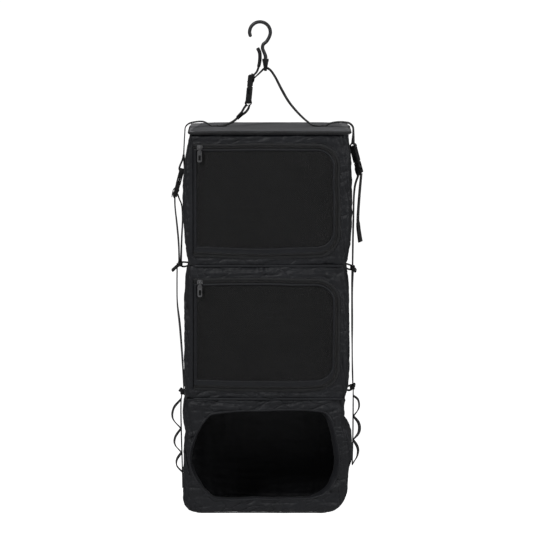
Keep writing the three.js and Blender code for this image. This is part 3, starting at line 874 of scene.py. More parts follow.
def door_border(level, seed):
    """The door's cloth edge: a flat nylon band with a raised binding that holds the net."""
    track = TRACK[level]
    hinge = track["left"] + 0.4
    # (distance in from the zip, height, share of the sill's rise), from the zip to the net
    profile = [(0.7, 0.2, 0), (1.2, 0.9, 0), (1.8, 1.1, 0.1), (2.3, 0.9, 0.35), (2.8, 0.9, 0.65),
               (3.3, 1.0, 0.9), (3.9, 1.6, 1), (4.7, 2.2, 1), (5.7, 2.3, 1), (6.6, 1.9, 1), (7.2, 1.1, 1),
               (7.6, 0.2, 1)]
    rings = [(raised(track, SILL_RISE * rise), -inset, hinge + (inset - 0.7) * 0.95, ZIP_PLANE + 1.0 - height)
             for inset, height, rise in profile]
    grid = band_grid(rings)
    grid[..., 1] -= 0.5 * folds(grid * (1, 0, 1), (16, 16, 16), seed) * np.linspace(0, 1, len(rings))[:, None]
    grid[..., 1] -= 0.25 * noise(grid, (3.2, 3.2, 3.2), seed + 1)
    return cloth_sheet(f"{level}_door_border", grid, grid[..., [0, 2]], 0.9, behind_door(track), wrap=True)


def net_depth(level, x, z):
    """The net's slack: it hangs a little way into the compartment at its middle."""
    track = TRACK[level]
    across = np.clip((x - track["left"]) / (track["right"] - track["left"]), 0, 1)
    down = np.clip((track["top"] - z) / (track["top"] - track["bottom"]), 0, 1)
    p = in_plane(x, z)
    slack = (np.sin(np.pi * across) * np.sin(np.pi * down)) ** 0.7
    sag = slack * (2.5 + 1.5 * noise(p, (70, 70, 50), 7))
    return ZIP_PLANE + 1.0 + sag + 0.25 * noise(p, (16, 16, 16), 9)


def door_net(level):
    """Net of two families of slanting yarns that pass over and under each other."""
    pitch, radius, weave = 3.5, 0.42, 0.22
    track = TRACK[level]
    cx, cz = (track["left"] + track["right"]) / 2, (track["top"] + track["bottom"]) / 2
    reach = int((track["right"] - track["left"] + track["top"] - track["bottom"]) / pitch) + 2
    i, j = np.meshgrid(np.arange(-reach, reach), np.arange(-reach, reach), indexing="ij")
    x, z = cx + (i + j) * pitch / 2, cz + (i - j) * pitch / 2
    inside = door_distance(level, x, z, SILL_RISE) < -NET_EDGE
    y = net_depth(level, x, z)
    over = np.where((i + j) % 2 == 0, weave, -weave)
    vertices, faces, total = [], [], 0
    for family, (di, dj, sign) in enumerate(((1, 0, 1), (0, 1, -1))):
        centre = np.stack([x, y - sign * over, z], axis=-1)
        across = np.array([1, 0, -1 if family == 0 else 1]) / math.sqrt(2)
        ring = np.stack([centre + across * radius * 1.25, centre - (0, radius * 0.8, 0),
                         centre - across * radius * 1.25, centre + (0, radius * 0.8, 0)], axis=2)
        index = np.full(inside.shape, -1)
        index[inside] = np.arange(inside.sum()) * 4 + total
        vertices.append(ring[inside].reshape(-1, 3))
        total += int(inside.sum()) * 4
        a = index[: index.shape[0] - di, : index.shape[1] - dj]
        b = index[di:, dj:]
        both = (a >= 0) & (b >= 0)
        for start, end in zip(a[both], b[both]):
            faces += [(start + k, start + (k + 1) % 4, end + (k + 1) % 4, end + k) for k in range(4)]
    return new_piece(f"{level}_door_net", np.vstack(vertices), faces, NET)


def zip_tapes(level):
    """The frame's tape, the door's tape, and the interlocking halves of the coil on them."""
    track = TRACK[level]
    tapes = []
    for name, near, far in (("frame_tape", TAPE_HALF, TRACK_OUTER + 1.5), ("door_tape", -TAPE_HALF, -3.0)):
        rows = []
        for share, y in ((0, 0.1), (0.08, -0.35), (0.5, -0.4), (0.92, -0.35), (1, 0.1)):
            line = zip_line(track, near + (far - near) * share, track["left"] + (0.5 if near < 0 else 0))
            rows.append(at_depth(spread(line, TAPE_COUNT), ZIP_PLANE + y))
        along = np.tile(np.linspace(0, lengths_along(rows[0])[-1], TAPE_COUNT), (len(rows), 1))
        across = np.tile(np.linspace(0, abs(far - near), len(rows))[:, None], (1, TAPE_COUNT))
        tapes.append(cloth_sheet(f"{level}_{name}", np.array(rows), np.stack([along, across], axis=-1), 0.5,
                                 behind_door(track), material=TAPE))
    coils = []
    tooth = np.array([(x * w, y * w, z) for z, w in ((-0.5, 1.0), (0.2, 1.0), (0.6, 0.55))
                      for x, y in ((-0.48, -1.25), (0.48, -1.25), (0.48, 1.25), (-0.48, 1.25))])
    tooth_faces = grid_faces(3, 4, wrap=True) + [(3, 2, 1, 0), (8, 9, 10, 11)]
    teeth = at_depth(zip_line(track, 0, track["left"] + 1.5, COIL_PITCH / 2), ZIP_PLANE - COIL_LIFT)
    axes = frames_along(teeth, (0, -1, 0))
    for name, start, grow in (("frame_coil", 0, 0.75), ("door_coil", 1, -0.75)):
        centres, turned = teeth[start::2], axes[start::2]
        shifted = centres - turned[:, 1] * grow * coil_side(turned, centres, track)[:, None]
        coils.append(copies(f"{level}_{name}", tooth, tooth_faces, shifted, turned, COIL))
    return tapes + coils


def coil_side(axes, centres, track):
    """1 where the direction across the zip points at the door's middle, and -1 where it points away."""
    middle = np.array([(track["left"] + track["right"]) / 2, ZIP_PLANE, (track["top"] + track["bottom"]) / 2])
    return np.where(((middle - centres) * axes[:, 1]).sum(1) > 0, 1.0, -1.0)


# ---- CAD pieces with softened edges -------------------------------------------------------------------


SHARP = 32  # edges that turn by more than this many degrees are rounded
FLAT = 1.5  # faces that meet within this many degrees become one
CAD_WELD = 2e-6  # corners within this many metres are one


def refined(node, material, slot, bevel, segments=2):
    """A close copy of a hard CAD part with its edges rounded, in place of the part."""
    source = frame["nodes"][node]
    work = bmesh.new()
    work.from_mesh(source.data)
    bmesh.ops.remove_doubles(work, verts=work.verts, dist=CAD_WELD)
    bmesh.ops.dissolve_limit(work, angle_limit=math.radians(FLAT), verts=work.verts, edges=work.edges)
    mesh = bpy.data.meshes.new(node + "_finished")
    work.to_mesh(mesh)
    work.free()
    mesh.materials.append(material)
    mesh.shade_smooth()
    obj = linked(node + "_finished", mesh)
    rounding = obj.modifiers.new("rounding", "BEVEL")
    rounding.width = bevel * MM
    rounding.segments = segments
    rounding.limit_method = "ANGLE"
    rounding.angle_limit = math.radians(SHARP)
    rounding.harden_normals = True
    apply_modifiers(obj)
    body = next(name for name, empty in frame["bodies"].items() if empty == source.parent)
    return place(obj, body, slot, node)


# ---- Soft slabs: lid, shelves and base ----------------------------------------------------------------


MERGE_WITHIN = 0.01


def merge_close(obj):
    """Joins vertices that lie on each other."""
    work = bmesh.new()
    work.from_mesh(obj.data)
    bmesh.ops.remove_doubles(work, verts=work.verts, dist=MERGE_WITHIN * MM)
    work.to_mesh(obj.data)
    work.free()
    return obj


def slab_outline(x0, x1, y0, y1, r, inset, count=96):
    """A rounded rectangle's points in X and Y, drawn inwards by inset, spaced alike for every inset."""
    x0, x1, y0, y1 = x0 + inset, x1 - inset, y0 + inset, y1 - inset
    r = max(r - inset, 0.6)
    corners = [(x1 - r, y1 - r), (x0 + r, y1 - r), (x0 + r, y0 + r), (x1 - r, y0 + r)]
    arcs = [arc(cx, cy, r, 90 * k, 90 * (k + 1), 17) for k, (cx, cy) in enumerate(corners)]
    sides = []
    for k in range(4):
        joint = np.vstack([arcs[k][8:], arcs[(k + 1) % 4][:9]])
        sides.append(spread(joint, count)[:-1])
    return np.vstack(sides)


def slab_rings(half, rim, deepest, rings):
    """How far in from its outline each ring of a slab lies, and how high above the slab's middle: over the
    face, round the rim and back under it."""
    spaced = [rim + (deepest - rim) * share**1.4 for share in np.linspace(1, 0, rings, endpoint=False)]
    returning = [rim + (deepest - rim) * share**1.4 for share in np.linspace(0, 1, rings + 1)[1:]]
    turn = [math.radians(angle) for angle in np.linspace(90, -90, 11)]
    insets = spaced + [rim * (1 - math.cos(a)) for a in turn] + returning
    heights = [half] * rings + [half * math.sin(a) for a in turn] + [-half] * rings
    return np.array(insets), np.array(heights)


def soft_slab(name, x, y, z, r, material, seed, droop=0.0, rim=None, ripple=0.6, rings=26, open_rear=False,
              binding=None):
    """A stitched, flat, rounded slab: its face, its rolled rim and its underside, as one cloth. binding is
    the material of a tape round the rim; on the lid its dark colour is also painted shade under the front
    edge."""
    (x0, x1), (y0, y1), (z0, z1) = x, y, z
    half, middle = (z1 - z0) / 2, (z0 + z1) / 2
    rim = rim or half
    insets, heights = slab_rings(half, rim, min(x1 - x0, y1 - y0) / 2 - 1.0, rings)
    grid = np.array([at_height(slab_outline(x0, x1, y0, y1, r, inset), middle + height)
                     for inset, height in zip(insets, heights)])
    grid[[0, -1], :, 1] = (y0 + y1) / 2  # the innermost rings close on the middle line
    heights = heights[:, None]
    away = np.minimum(insets / 30, 1)[:, None]
    upper = np.clip(heights / half, -1, 1)
    gathers = folds(grid * (1, 1, 0), (46, 40, 30), seed)
    grid[..., 2] += ripple * (np.abs(gathers) if open_rear else gathers) * upper * away
    if droop:
        past = np.clip(1 - np.minimum(grid[..., 0] - x0, x1 - grid[..., 0]) / 60, 0, 1)
        grid[..., 2] -= droop * past**2 * (0.35 + 0.65 * np.clip((grid[..., 1] - y0) / (y1 - y0), 0, 1))
    grid[..., 2] += (0 if open_rear else 0.3) * ripple * crinkle(grid, seed + 3) * upper
    edge = np.exp(-(insets / 4.0) ** 2)[:, None]
    wave = noise(grid * (1, 1, 0), (42, 42, 9), seed + 8) * 0.8
    wave = wave + folds(grid * (1, 1, 0), (12, 12, 9), seed + 9) * 0.5
    grid[..., 2] += edge * wave * ripple
    n = grid.shape[1]
    faces = grid_faces(len(grid), n, wrap=True)
    if open_rear:
        limit = y1 - rim * 1.5
        flat = grid.reshape(-1, 3)
        band = np.abs(np.repeat(heights, n, axis=1)).reshape(-1) < half * 0.9
        faces = [f for f in faces if not all(flat[v, 1] > limit and band[v] for v in f)]
    obj = new_piece(name, grid.reshape(-1, 3), faces, material, grid[..., :2].reshape(-1, 2))
    # The rim's faces take the darker binding: a bound edge, and painted shade where the lid's front edge
    # turns under.
    if binding:
        obj.data.materials.append(binding)
        for face in obj.data.polygons[(rings + 2) * n:(rings + 12) * n]:
            face.material_index = 1
    face_outwards(merge_close(obj))
    if open_rear:
        thicken(obj, 0.9)
    return obj


# ---- Straps -------------------------------------------------------------------------------------------

WEBBING_WIDTH = 15.0
WEBBING_THICKNESS = 2.3
LOOP_WIDTH = 16  # webbing threaded on a buckle or a tab
Buckle = namedtuple("Buckle", "x z tilt over yaw")  # its middle, its slant, upside down or not, its turn


def strap(name, points, width=WEBBING_WIDTH, thickness=WEBBING_THICKNESS, twist=3.0, seed=1, step=3.0,
          lean=(0.0, 0.0, 0.0)):
    """Webbing through (x, z) points with its width along Y, and a little slack twist along it. lean gives
    the turn about its own length at its start, middle and end."""
    path = at_depth(curve_through(points, step), 0)
    ends = np.sin(np.linspace(0, np.pi, len(path))) ** 0.5
    turn = np.radians(twist) * noise(path, (60, 60, 60), seed) * ends
    start, middle, end = lean
    leans = (start, (start + 2 * middle) / 3, middle, (end + 2 * middle) / 3, end)
    turn += np.radians(np.interp(np.linspace(0, 1, len(path)), (0, 0.2, 0.5, 0.8, 1), leans))
    path[:, 1] += 0.6 * noise(path + 40, (50, 50, 50), seed + 1) * ends
    return sweep(name, path, flat_section(width, thickness), WEBBING, turn=turn)


def loop_on(buckle, name, points, thickness):
    """Webbing threaded on a buckle, through points in the buckle's own frame."""
    a = buckle.tilt + (math.pi if buckle.over else 0)
    points = [(buckle.x + px * math.cos(a) + pz * math.sin(a), buckle.z - px * math.sin(a) + pz * math.cos(a))
              for px, pz in points]
    obj = strap(name, points, width=LOOP_WIDTH, thickness=thickness, twist=0, step=1.2)
    middle = Matrix.Translation(Vector((buckle.x, 0, buckle.z)) * MM)
    length = Vector((math.sin(buckle.tilt), 0, math.cos(buckle.tilt)))
    obj.data.transform(middle @ Matrix.Rotation(buckle.yaw, 4, length) @ middle.inverted())
    return obj


def box_stitch(name, x, z, length):
    """A sewn box with a cross in it, on a strap that lies along X on the lid."""
    half, w = length / 2, WEBBING_WIDTH / 2 - 2.2
    c = [(x - half, -w, z), (x + half, -w, z), (x + half, w, z), (x - half, w, z)]
    runs = [stitches(f"{name}_{k}", np.array([c[a], c[b]]), (0, 0, 1), pitch=2.6, length=1.9, radius=0.22)
            for k, (a, b) in enumerate(((0, 1), (1, 2), (2, 3), (3, 0), (0, 2), (1, 3)))]
    place(joined_pieces(name, runs), "lid_section", "webbing")


# ---- Build the compartments ---------------------------------------------------------------------------

FRONT_SEED = {"upper": 31, "middle": 58, "lower": 83}
WALL_SEED = {"upper": 112, "middle": 147, "lower": 171}
MOUTH_CENTRE = (0.0, 0.0, -853.0)
FACING_DEPTH = 44  # how far the mouth's facing reaches into the compartment
# The lower compartment's soft mouth, clockwise from its top left, as (x, z).
MOUTH_SIDES = [
    [(-100, -772), (-58, -767), (20, -764.5), (84, -764), (128, -767)],
    [(128, -767), (141, -784), (150, -815), (156, -845), (158, -872), (153, -900), (141, -923),
     (122, -938)],
    [(122, -938), (100, -943), (44, -945), (-8, -944.5), (-58, -946.5), (-94, -944)],
    [(-94, -944), (-111, -930), (-127, -909), (-138, -888), (-142, -866), (-140, -844), (-131, -818),
     (-117, -792), (-100, -772)],
]


def build_door_compartment(level):
    """A compartment with a net door and a zip."""
    track = TRACK[level]
    body = FOLD_BODY[level]
    seed = FRONT_SEED[level]
    hole = door_lines(track, TRACK_OUTER - 0.4, track["left"] - 0.8)
    place_folding(front_panel(level, hole, seed, 22, 190), level, body, "nylon_cloth",
                  f"{level}_front_frame")
    place_folding(wall_wrap(level, WALL_SEED[level], 96), level, body, "nylon_cloth",
                  f"{level}_left_side", f"{level}_right_side", f"{level}_back_panel")
    door = f"{level}_door"
    place_folding(door_border(level, seed + 3), level, door, "nylon_cloth", f"{level}_door_border")
    place_folding(door_net(level), level, door, "mesh_net", f"{level}_door_net")
    frame_tape, door_tape, frame_coil, door_coil = zip_tapes(level)
    place_folding(frame_tape, level, body, "zip_tape", f"{level}_zip_tape")
    place_folding(frame_coil, level, body, "zip_tape")
    place_folding(door_tape, level, door, "zip_tape")
    place_folding(door_coil, level, door, "zip_tape")
    seam = stitches(f"{level}_frame_stitches",
                    on_front(level, zip_line(track, TRACK_OUTER + 3.2, track["left"] - 2, 1.5), seed, 0.05))
    place_folding(seam, level, body, "nylon_cloth")
    for name, inset, rise, y in (("outer", 2.2, 0, ZIP_PLANE), ("inner", 5.4, SILL_RISE, ZIP_PLANE - 1.3)):
        line = zip_line(raised(track, rise), -inset, track["left"] + 4, 1.5)
        sewn = stitches(f"{level}_door_stitches_{name}", at_depth(line, y))
        place_folding(sewn, level, door, "nylon_cloth")


def build_lower_compartment():
    """The open pocket at the bottom: a rolled hem round its mouth, and a facing turned in behind the hem."""
    level = "lower"
    body = FOLD_BODY[level]
    hole = [curve_through(side, 4) for side in MOUTH_SIDES]
    place_folding(front_panel(level, hole, FRONT_SEED[level], 26, 200), level, body, "nylon_cloth",
                  "lower_front_frame")
    place_folding(wall_wrap(level, WALL_SEED[level], 92), level, body, "nylon_cloth",
                  "lower_left_side", "lower_right_side", "lower_back_panel")
    mouth = np.vstack([spread(curve_through(side, 4), 110)[:-1] for side in MOUTH_SIDES])
    edge = on_front(level, mouth, FRONT_SEED[level])
    for _ in range(14):
        edge = (np.roll(edge, 1, axis=0) + 2 * edge + np.roll(edge, -1, axis=0)) / 4
    hem = sweep("lower_hem", edge + (0, 1.2, 0), circle(2.6, 12, 0.85), NYLON, closed=True,
                swell=1 + 0.14 * noise(edge, (9, 9, 9), 4))
    place_folding(hem, level, body, "nylon_cloth", "lower_opening_hem")
    inward = MOUTH_CENTRE - edge
    inward[:, 1] = 0
    inward /= np.linalg.norm(inward, axis=1, keepdims=True)
    on_right = np.clip((edge[:, 0] - 90) / 60, 0, 1)
    on_left = np.clip((-90 - edge[:, 0]) / 50, 0, 1)
    show = 1.0 + 9 * on_right + 4 * on_left
    rows = []
    for t in np.linspace(0, 1, 18):
        lean = math.sin(math.pi * min(t * 1.25, 1.0))
        ring = edge + (0, 1.5, 0) + (0, FACING_DEPTH * t, 0)
        ring = ring + inward * (show * lean)[:, None] - inward * (6 * t**2)
        ring += inward * (2.2 * folds(ring, (16, 30, 22), 61) * math.sin(math.pi * t))[:, None]
        rows.append(ring)
    grid = np.array(rows)
    along = np.tile(np.arange(grid.shape[1]) * 2.0, (len(grid), 1))
    facing = cloth_sheet("lower_facing", grid, np.stack([along, grid[..., 1]], axis=-1), 0.8, wrap=True)
    place_folding(facing, level, body, "nylon_cloth")


for _level in LEVELS[:2]:
    build_door_compartment(_level)
build_lower_compartment()
for _level in LEVELS[1:]:
    seam_allowance(_level)

# ---- Lid, shelves and base ----------------------------------------------------------------------------

lid_low, lid_high = node_box("lid_binding")
LID_X, LID_Y = (lid_low[0], lid_high[0]), (lid_low[1], lid_high[1])
LID_TOP = node_box("lid_cover")[1][2]
# The lid's rim is bound in the dark tape, whose darkness also paints the shade under the lid's front edge.
place(soft_slab("lid_shell", (LID_X[0] + 2.5, LID_X[1] - 1), LID_Y, (LID_TOP - 7.4, LID_TOP), 26,
                LID_CLOTH, 21, droop=4.5, ripple=1.0, rim=8.0, binding=TAPE),
      "lid_section", "lid_cloth", "lid_cover", "lid_binding")
place(soft_slab("lid_underside", (LID_X[0] + 4, LID_X[1] - 4), (LID_Y[0] + 4, LID_Y[1] - 4),
                (LID_TOP - 8.2, LID_TOP - 6.4), 16, NYLON, 22, ripple=0.4, rings=12),
      "lid_section", "nylon_cloth", "lid_lining")
for node in ("lid_board", "upper_shelf_board", "lower_shelf_board", "base_board"):
    refined(node, BOARD, "stiffener_board", 0.5)
for shelf in ("upper_shelf", "lower_shelf"):
    low, high = node_box(f"{shelf}_sleeve")
    place(soft_slab(f"{shelf}_pocket", (low[0], high[0]), (low[1], high[1]), (low[2], high[2]), 14, NYLON,
                    24 + len(shelf), ripple=0.35, rings=16, open_rear=True),
          shelf, "nylon_cloth", f"{shelf}_sleeve")
low, high = node_box("base_sleeve")
place(soft_slab("base_pocket", (low[0] - 12, high[0] + 12), (low[1] + 8, high[1] - 6),
                (low[2] - 0.5, high[2]), 16, NYLON, 27, ripple=0.35, rings=16, open_rear=True),
      "base", "nylon_cloth", "base_sleeve")

# ---- Hook, hanger and buckles -------------------------------------------------------------------------

HOOK_WIRE = 3.7
HOOK_RADIUS = 20.7
HOOK_X = -1
SWIVEL_X = 10.0


def build_hook():
    """A round wire with a blunt tip, and the headed pin that it turns on in the yoke."""
    cx, cz = HOOK_X, HOOK_WIRE - HOOK_RADIUS
    bow = [(cx + HOOK_RADIUS * math.cos(math.radians(a)), cz + HOOK_RADIUS * math.sin(math.radians(a)))
           for a in (208, 180, 150, 120, 90, 60, 30, 0, -28)]
    stem = [(12, -35.5), (5.4, -41.5), (4.2, -49), (7.6, -58), (SWIVEL_X, -65), (SWIVEL_X, -72)]
    path = at_depth(curve_through(bow + stem, 1.6), 0)
    along = lengths_along(path)
    tip = np.sqrt(np.clip(1 - (1 - np.clip(along / 2.6, 0, 1)) ** 2, 0.02, 1))
    swell = tip * (1 + 0.1 * np.exp(-((along - along[-1]) / 9) ** 2))
    wire = sweep("hook_wire", path, circle(HOOK_WIRE, 20, 0.94), HOOK_PLASTIC, swell=swell)
    pin = sweep("hook_pin", [(SWIVEL_X, 0, z) for z in (-70, -75.4, -75.5, -76.6, -78.4, -79.0)],
                circle(1, 20), HOOK_PLASTIC, swell=[1.9, 1.9, 2.6, 3.4, 3.4, 2.9])
    place(joined_pieces("hook_finished", [wire, pin]), "hook", "hook_plastic", "hook")


# A strap's sewn end looped round a socket's bar, and a strand threaded over the middle bar of a ladder lock,
# in the buckle's own frame.
SOCKET_LOOP = [(-1.2, -38.5), (-5.2, -34.5), (-5.9, -32), (-4.6, -28.6), (0, -27.6), (4.6, -28.6), (5.9, -32),
               (5.2, -34.5), (1.2, -38.5)]
LADDER_LOOP = [(1.2, 27), (5.0, 20), (4.0, 15.6), (-5.0, 11.1), (2.4, 7.0), (6.0, 11), (6.6, 19), (5.4, 27)]
HANGER_BUCKLE = Buckle(-21.2, -126.0, 0.095, False, -0.1)
LEFT_BUCKLE = Buckle(-165.0, -322.0, 0.26, True, 0.0)
RIGHT_BUCKLE = Buckle(193.0, -276.0, -0.26, True, -0.24)
SEWN = LID_TOP + 1.3  # the middle of a strap sewn flat to the lid

build_hook()
refined("swivel_yoke", PLASTIC, "buckle_plastic", 0.6)
for name in ("hanger", "left", "right"):
    refined(f"{name}_buckle_socket", PLASTIC, "buckle_plastic", 0.7, 3)
    refined(f"{name}_buckle_prongs", PLASTIC, "buckle_plastic", 0.45)
refined("hanger_tri_glide", PLASTIC, "buckle_plastic", 0.4)
for _level in LEVELS[:2]:
    refined(f"{_level}_zip_slider", METAL, "zip_metal", 0.35)
    refined(f"{_level}_zip_puller", METAL, "zip_metal", 0.35)

place(strap("hanger_webbing_right", [
    (-17, -113), (-9, -105), (-1, -97.5), (5.5, -91), (SWIVEL_X, -87.9), (18, -91), (28, -104), (41, -129),
    (56, -155), (74, -177), (92, -194), (104, -202), (114, SEWN), (124, SEWN)],
    thickness=2.7, twist=4, seed=3, lean=(-6, 9, 0)),
    "lid_section", "webbing", "hanger_strap_right")
tail_strand = strap("hanger_tail_strand", [(-18, -106), (-12, -101), (-7, -95), (-3.8, -86), (-3, -78)],
                    thickness=3.2, twist=3, seed=4, lean=(-6, -8, -8))
tail_fold = strap("hanger_tail_fold", [(-3.8, -86), (-1.8, -77), (-1, -66), (-1.8, -57), (-5.8, -48.5)],
                  thickness=5.6, twist=3, seed=5, lean=(-8, -9, -8))
place(joined_pieces("hanger_webbing_tail", [tail_strand, tail_fold]), "lid_section", "webbing",
      "hanger_strap_tail")
left_strand = strap("hanger_left_strand", [
    (-27.5, -161), (-32.5, -168), (-37.5, -176.5), (-45, -187), (-55, -195.5), (-68, -201.5), (-78, SEWN),
    (-88, SEWN)], thickness=2.7, twist=2, seed=5, lean=(-6, -6, 0))
doubled = strap("hanger_left_doubled", [
    (-21.8, -162), (-24, -169), (-29.5, -176.5), (-37, -182), (-46, -190)],
    thickness=2.6, twist=2, seed=7, lean=(-6, -8, -8))
hanger_left = joined_pieces("hanger_webbing_left", [left_strand, doubled])
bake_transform(hanger_left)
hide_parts("hanger_strap_left")
for name, buckle, body in (("hanger", HANGER_BUCKLE, "hanger_socket"),
                           ("right", RIGHT_BUCKLE, "right_buckle")):
    place(loop_on(buckle, f"{name}_socket_loop", SOCKET_LOOP, 1.7), body, "webbing")
for name, buckle, body in (("hanger", HANGER_BUCKLE, "lid_section"), ("left", LEFT_BUCKLE, "left_prongs"),
                           ("right", RIGHT_BUCKLE, "right_prongs")):
    place(loop_on(buckle, f"{name}_ladder_loop", LADDER_LOOP, 1.5), body, "webbing")
for name, x in (("hanger_right", 119), ("hanger_left", -83), ("left_strap", -93), ("right_strap", 129)):
    box_stitch(f"sewn_{name}", x, SEWN + 0.8, 8)

# ---- Side straps --------------------------------------------------------------------------------------


def side_strap(name, points, body, joint, anchor, keep, node, **shape):
    """A strand of webbing on its body, in place of its CAD node."""
    fold_with(place(strap(name, points, **shape), body, "webbing", node))


# A tab's route from the seam round the lock and back, as (share of the way to the lock, height above it).
TAB_ROUTE = ((0, 1.2), (0.5, 2.8), (0.9, 3), (1.12, 0), (0.95, -4), (0.65, -6), (0.3, -4.4), (0, -1.2))
KEEPER_REACH = 10.5  # half the depth of the lock
KEEPER_COLLAR = 3.9  # half the width of the small lock that a tab holds
TURNED_BACK = 4.4  # thickness of a strap's end folded on itself


def keeper(name, node, body, seam, lock, end, seed, lean):
    """A webbing tab from the seam, the small lock that it holds round the side strap, and the strap's end
    turned back beyond the lock. Each place is an (x, z)."""
    seam, lock, end = (np.array(xz, float) for xz in (seam, lock, end))
    along = lock - seam
    upwards = np.array([-along[1], along[0]]) * np.sign(along[0]) / np.linalg.norm(along)
    route = [tuple(seam + share * along + rise * upwards) for share, rise in TAB_ROUTE]
    tab = strap(f"{name}_tab", route, width=LOOP_WIDTH, thickness=1.9, twist=0, seed=seed, step=1.4)
    ring = slab_outline(lock[0] - KEEPER_COLLAR, lock[0] + KEEPER_COLLAR, -KEEPER_REACH, KEEPER_REACH,
                        2.4, 0, 16)
    collar = sweep(f"{name}_collar", at_height(ring, lock[1]), flat_section(8.5, 1.8), WEBBING,
                   side=(0, 0, 1), closed=True)
    tip = strap(f"{name}_tip", [tuple(lock), tuple((lock + end) / 2 + (0, 0.6)), tuple(end)], width=18,
                thickness=TURNED_BACK, twist=2, seed=seed + 4, step=1.4, lean=(lean, lean, lean))
    place(joined_pieces(name, [tab, collar, tip]), body, "webbing", node)


def daisy(name, flat, loops, node, lean):
    """A flat strap with a second one sewn to it in loops that stand out."""
    ends = 0.3 * lean
    strips = [strap(f"{name}_flat", flat, twist=3, seed=6, lean=(0, ends, 0))]
    strips += [strap(f"{name}_loop{k}", points, twist=14, seed=8 + k, step=2.4, lean=(ends, lean, ends))
               for k, points in enumerate(loops)]
    obj = place(joined_pieces(name, strips), "lower_shelf", "webbing", node)
    fold_with(obj)


left_lid = strap("left_lid_strand", [
    (-88, SEWN), (-98, SEWN), (-104, -200.0), (-114, -195.5), (-130, -196), (-143, -199.5), (-149.6, -206),
    (-151, -218), (-152.6, -245), (-153.6, -268)], twist=4, seed=11, lean=(0, 0, -4))
left_sling = strap("left_lid_sling", [
    (-153.9, -262), (-156.0, -272), (-161.0, -284.5), (-162.6, -290.5), (-160.4, -295.2), (-156.2, -295.8),
    (-152.4, -292.8), (-151.8, -287), (-152.5, -275), (-153.2, -262)],
    width=LOOP_WIDTH, thickness=2.5, twist=0, step=1.4, lean=(-4, -5, -4))
fold_with(place(joined_pieces("left_lid_webbing", [left_lid, left_sling]), "lid_section", "webbing",
                "left_lid_strap"))
side_strap("left_main_webbing", [
    (-165.5, -341), (-162.5, -350.5), (-158.2, -361), (-156, -385), (-157.8, -430), (-159.5, -478)],
    "left_prongs", "upper_fold", -349, 0.196, "left_main_strand", seed=12, lean=(-6, -5, -10))
side_strap("left_tail_webbing", [(-171.5, -346), (-171, -366), (-167.5, -400), (-164, -440), (-163, -478)],
           "left_prongs", "upper_fold", -349, 0.196, "left_strap_tail", twist=4, seed=13, lean=(-6, -7, -8))
side_strap("left_middle_webbing", [
    (-167, -481), (-167.5, -520), (-167, -560), (-162, -607), (-156.5, -686), (-154.5, -734)],
    "upper_shelf", "middle_fold", -481, 0.243, "left_middle_strap", twist=5, seed=14, lean=(-2, -8, -2))
side_strap("right_lid_webbing", [
    (124, SEWN), (131, SEWN), (136, -200.2), (148, -197), (166, -196.5), (178, -199), (184.4, -206),
    (185.4, -216), (184.8, -234), (184.4, -241)],
    "lid_section", "upper_fold", -205, 0.376, "right_lid_strap", twist=3, seed=15, lean=(0, 4, 27))
side_strap("right_main_webbing", [(196.6, -300), (188.8, -325), (185.8, -400), (184.5, -487)],
           "right_prongs", "upper_fold", -303, 0.14, "right_main_strand", seed=16, lean=(14, 9, 6))
right_tail = strap("right_tail_strand", [(201.5, -300), (198, -340), (195, -396), (197, -412)],
                   twist=3, seed=17, lean=(14, 20, 20))
right_tip = strap("right_tail_fold", [(195.2, -398), (196.2, -411), (200, -437)],
                  thickness=4.6, twist=2, seed=19, lean=(20, 26, 32))
place(joined_pieces("right_tail_webbing", [right_tail, right_tip]), "right_prongs", "webbing",
      "right_strap_tail")
side_strap("right_middle_webbing", [(184.8, -491), (183.8, -530), (184, -600), (184.5, -680), (186, -733)],
           "upper_shelf", "middle_fold", -481, 0.243, "right_middle_strap", twist=4, seed=18, lean=(15, 7, 2))
keeper("left_keeper_top", "left_upper_keeper", "upper_shelf",
       (-140, -480.5), (-161, -481.5), (-177, -495), 31, -6)
keeper("right_keeper_top", "right_upper_keeper", "upper_shelf",
       (166, -481), (184.5, -489.5), (191, -496), 32, 12)
keeper("left_keeper_low", "left_lower_keeper", "lower_shelf",
       (-143, -739), (-156.5, -741), (-163, -735.5), 33, -14)
keeper("right_keeper_low", "right_lower_keeper", "lower_shelf",
       (167, -734), (184.5, -731), (190, -727), 34, 10)
daisy("left_daisy", [(-157, -736), (-160, -760), (-159.5, -830), (-158, -890), (-157, -936)], [
    [(-160, -756), (-175, -775), (-177, -795), (-159.5, -817)],
    [(-159.5, -815), (-172, -834), (-173, -848), (-158.6, -866)],
    [(-158.6, -864), (-169, -880), (-169, -892), (-157.8, -905)]], "left_daisy_chain", -14)
daisy("right_daisy", [(186.5, -735), (186.5, -780), (186, -840), (185, -890)], [
    [(186.6, -749), (196, -757), (198, -774), (186.4, -792)],
    [(186.4, -790), (198, -806), (198, -824), (186, -840)],
    [(186, -838), (196, -856), (195, -872), (185.2, -889)]], "right_daisy_chain", 14)

# ---- Camera, light and stage --------------------------------------------------------------------------

VIEW_WIDTH = 1.0705  # metres across the picture at the object
VIEW_DISTANCE = 8.0
VIEW_ELEVATION = math.radians(7.4)
VIEW_TARGET = Vector((0.012, 0, -0.4880))
FLOOR = -1400  # the organiser hangs clear of the ground
FLOOR_HALF = 40000
ROOM_LIGHT = 0.075
ROOM_SEEN = 1.1  # how bright the room looks behind the object


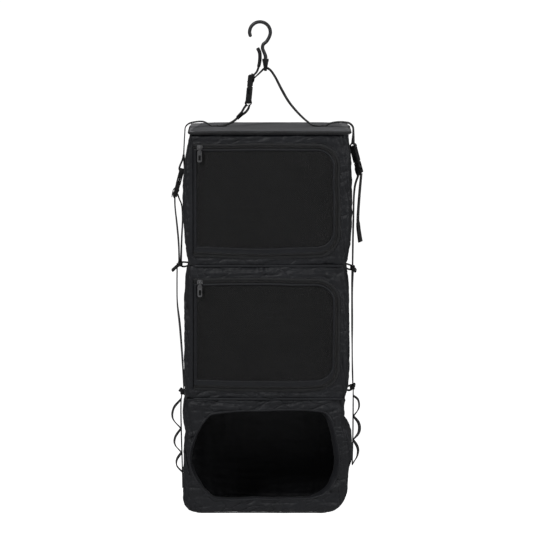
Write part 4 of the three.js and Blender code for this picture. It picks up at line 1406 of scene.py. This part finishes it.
def add_camera():
    data = bpy.data.cameras.new("camera")
    data.sensor_width = 36
    data.lens = 36 * VIEW_DISTANCE / VIEW_WIDTH
    data.clip_end = 100
    camera = linked("camera", data)
    away = Vector((0, -math.cos(VIEW_ELEVATION), math.sin(VIEW_ELEVATION)))
    camera.location = VIEW_TARGET + away * VIEW_DISTANCE
    camera.rotation_euler = (-away).to_track_quat("-Z", "Y").to_euler()
    bpy.context.scene.camera = camera


def add_light(name, place_at, size, energy):
    data = bpy.data.lights.new(name, "AREA")
    data.shape = "DISK"
    data.size = size
    data.energy = energy
    light = linked(name, data)
    light.location = place_at
    light.rotation_euler = (VIEW_TARGET - Vector(place_at)).to_track_quat("-Z", "Y").to_euler()


def add_stage():
    """A pale floor and a plain room that look white to the camera and light the object only softly."""
    h = FLOOR_HALF
    corners = [(-h, -h, FLOOR), (h, -h, FLOOR), (h, h, FLOOR), (-h, h, FLOOR)]
    paint = Shader("floor", (0.85, 0.85, 0.85), 0.9)
    lift = paint.node("ShaderNodeLightPath").outputs["Is Camera Ray"]
    paint.shader.inputs["Emission Color"].default_value = (1, 1, 1, 1)
    paint.link(lift, paint.shader.inputs["Emission Strength"])
    floor = new_piece("floor", corners, [(0, 1, 2, 3)], paint.material, smooth=False)
    world = bpy.data.worlds.new("world")
    world.use_nodes = True
    tree = world.node_tree
    seen = tree.nodes.new("ShaderNodeLightPath").outputs["Is Camera Ray"]
    mix = tree.nodes.new("ShaderNodeMapRange")
    mix.inputs["To Min"].default_value = ROOM_LIGHT
    mix.inputs["To Max"].default_value = ROOM_SEEN
    tree.links.new(seen, mix.inputs["Value"])
    tree.nodes["Background"].inputs["Color"].default_value = (1, 1, 1, 1)
    tree.links.new(mix.outputs["Result"], tree.nodes["Background"].inputs["Strength"])
    bpy.context.scene.world = world
    bpy.context.scene.view_settings.view_transform = "Standard"


add_camera()
add_light("key", (-1.5, -1.9, 1.5), 1.0, 42)
add_light("side", (2.3, -1.6, 0.3), 1.1, 20)
add_light("top", (0.3, 0.2, 1.9), 1.0, 9)
add_stage()
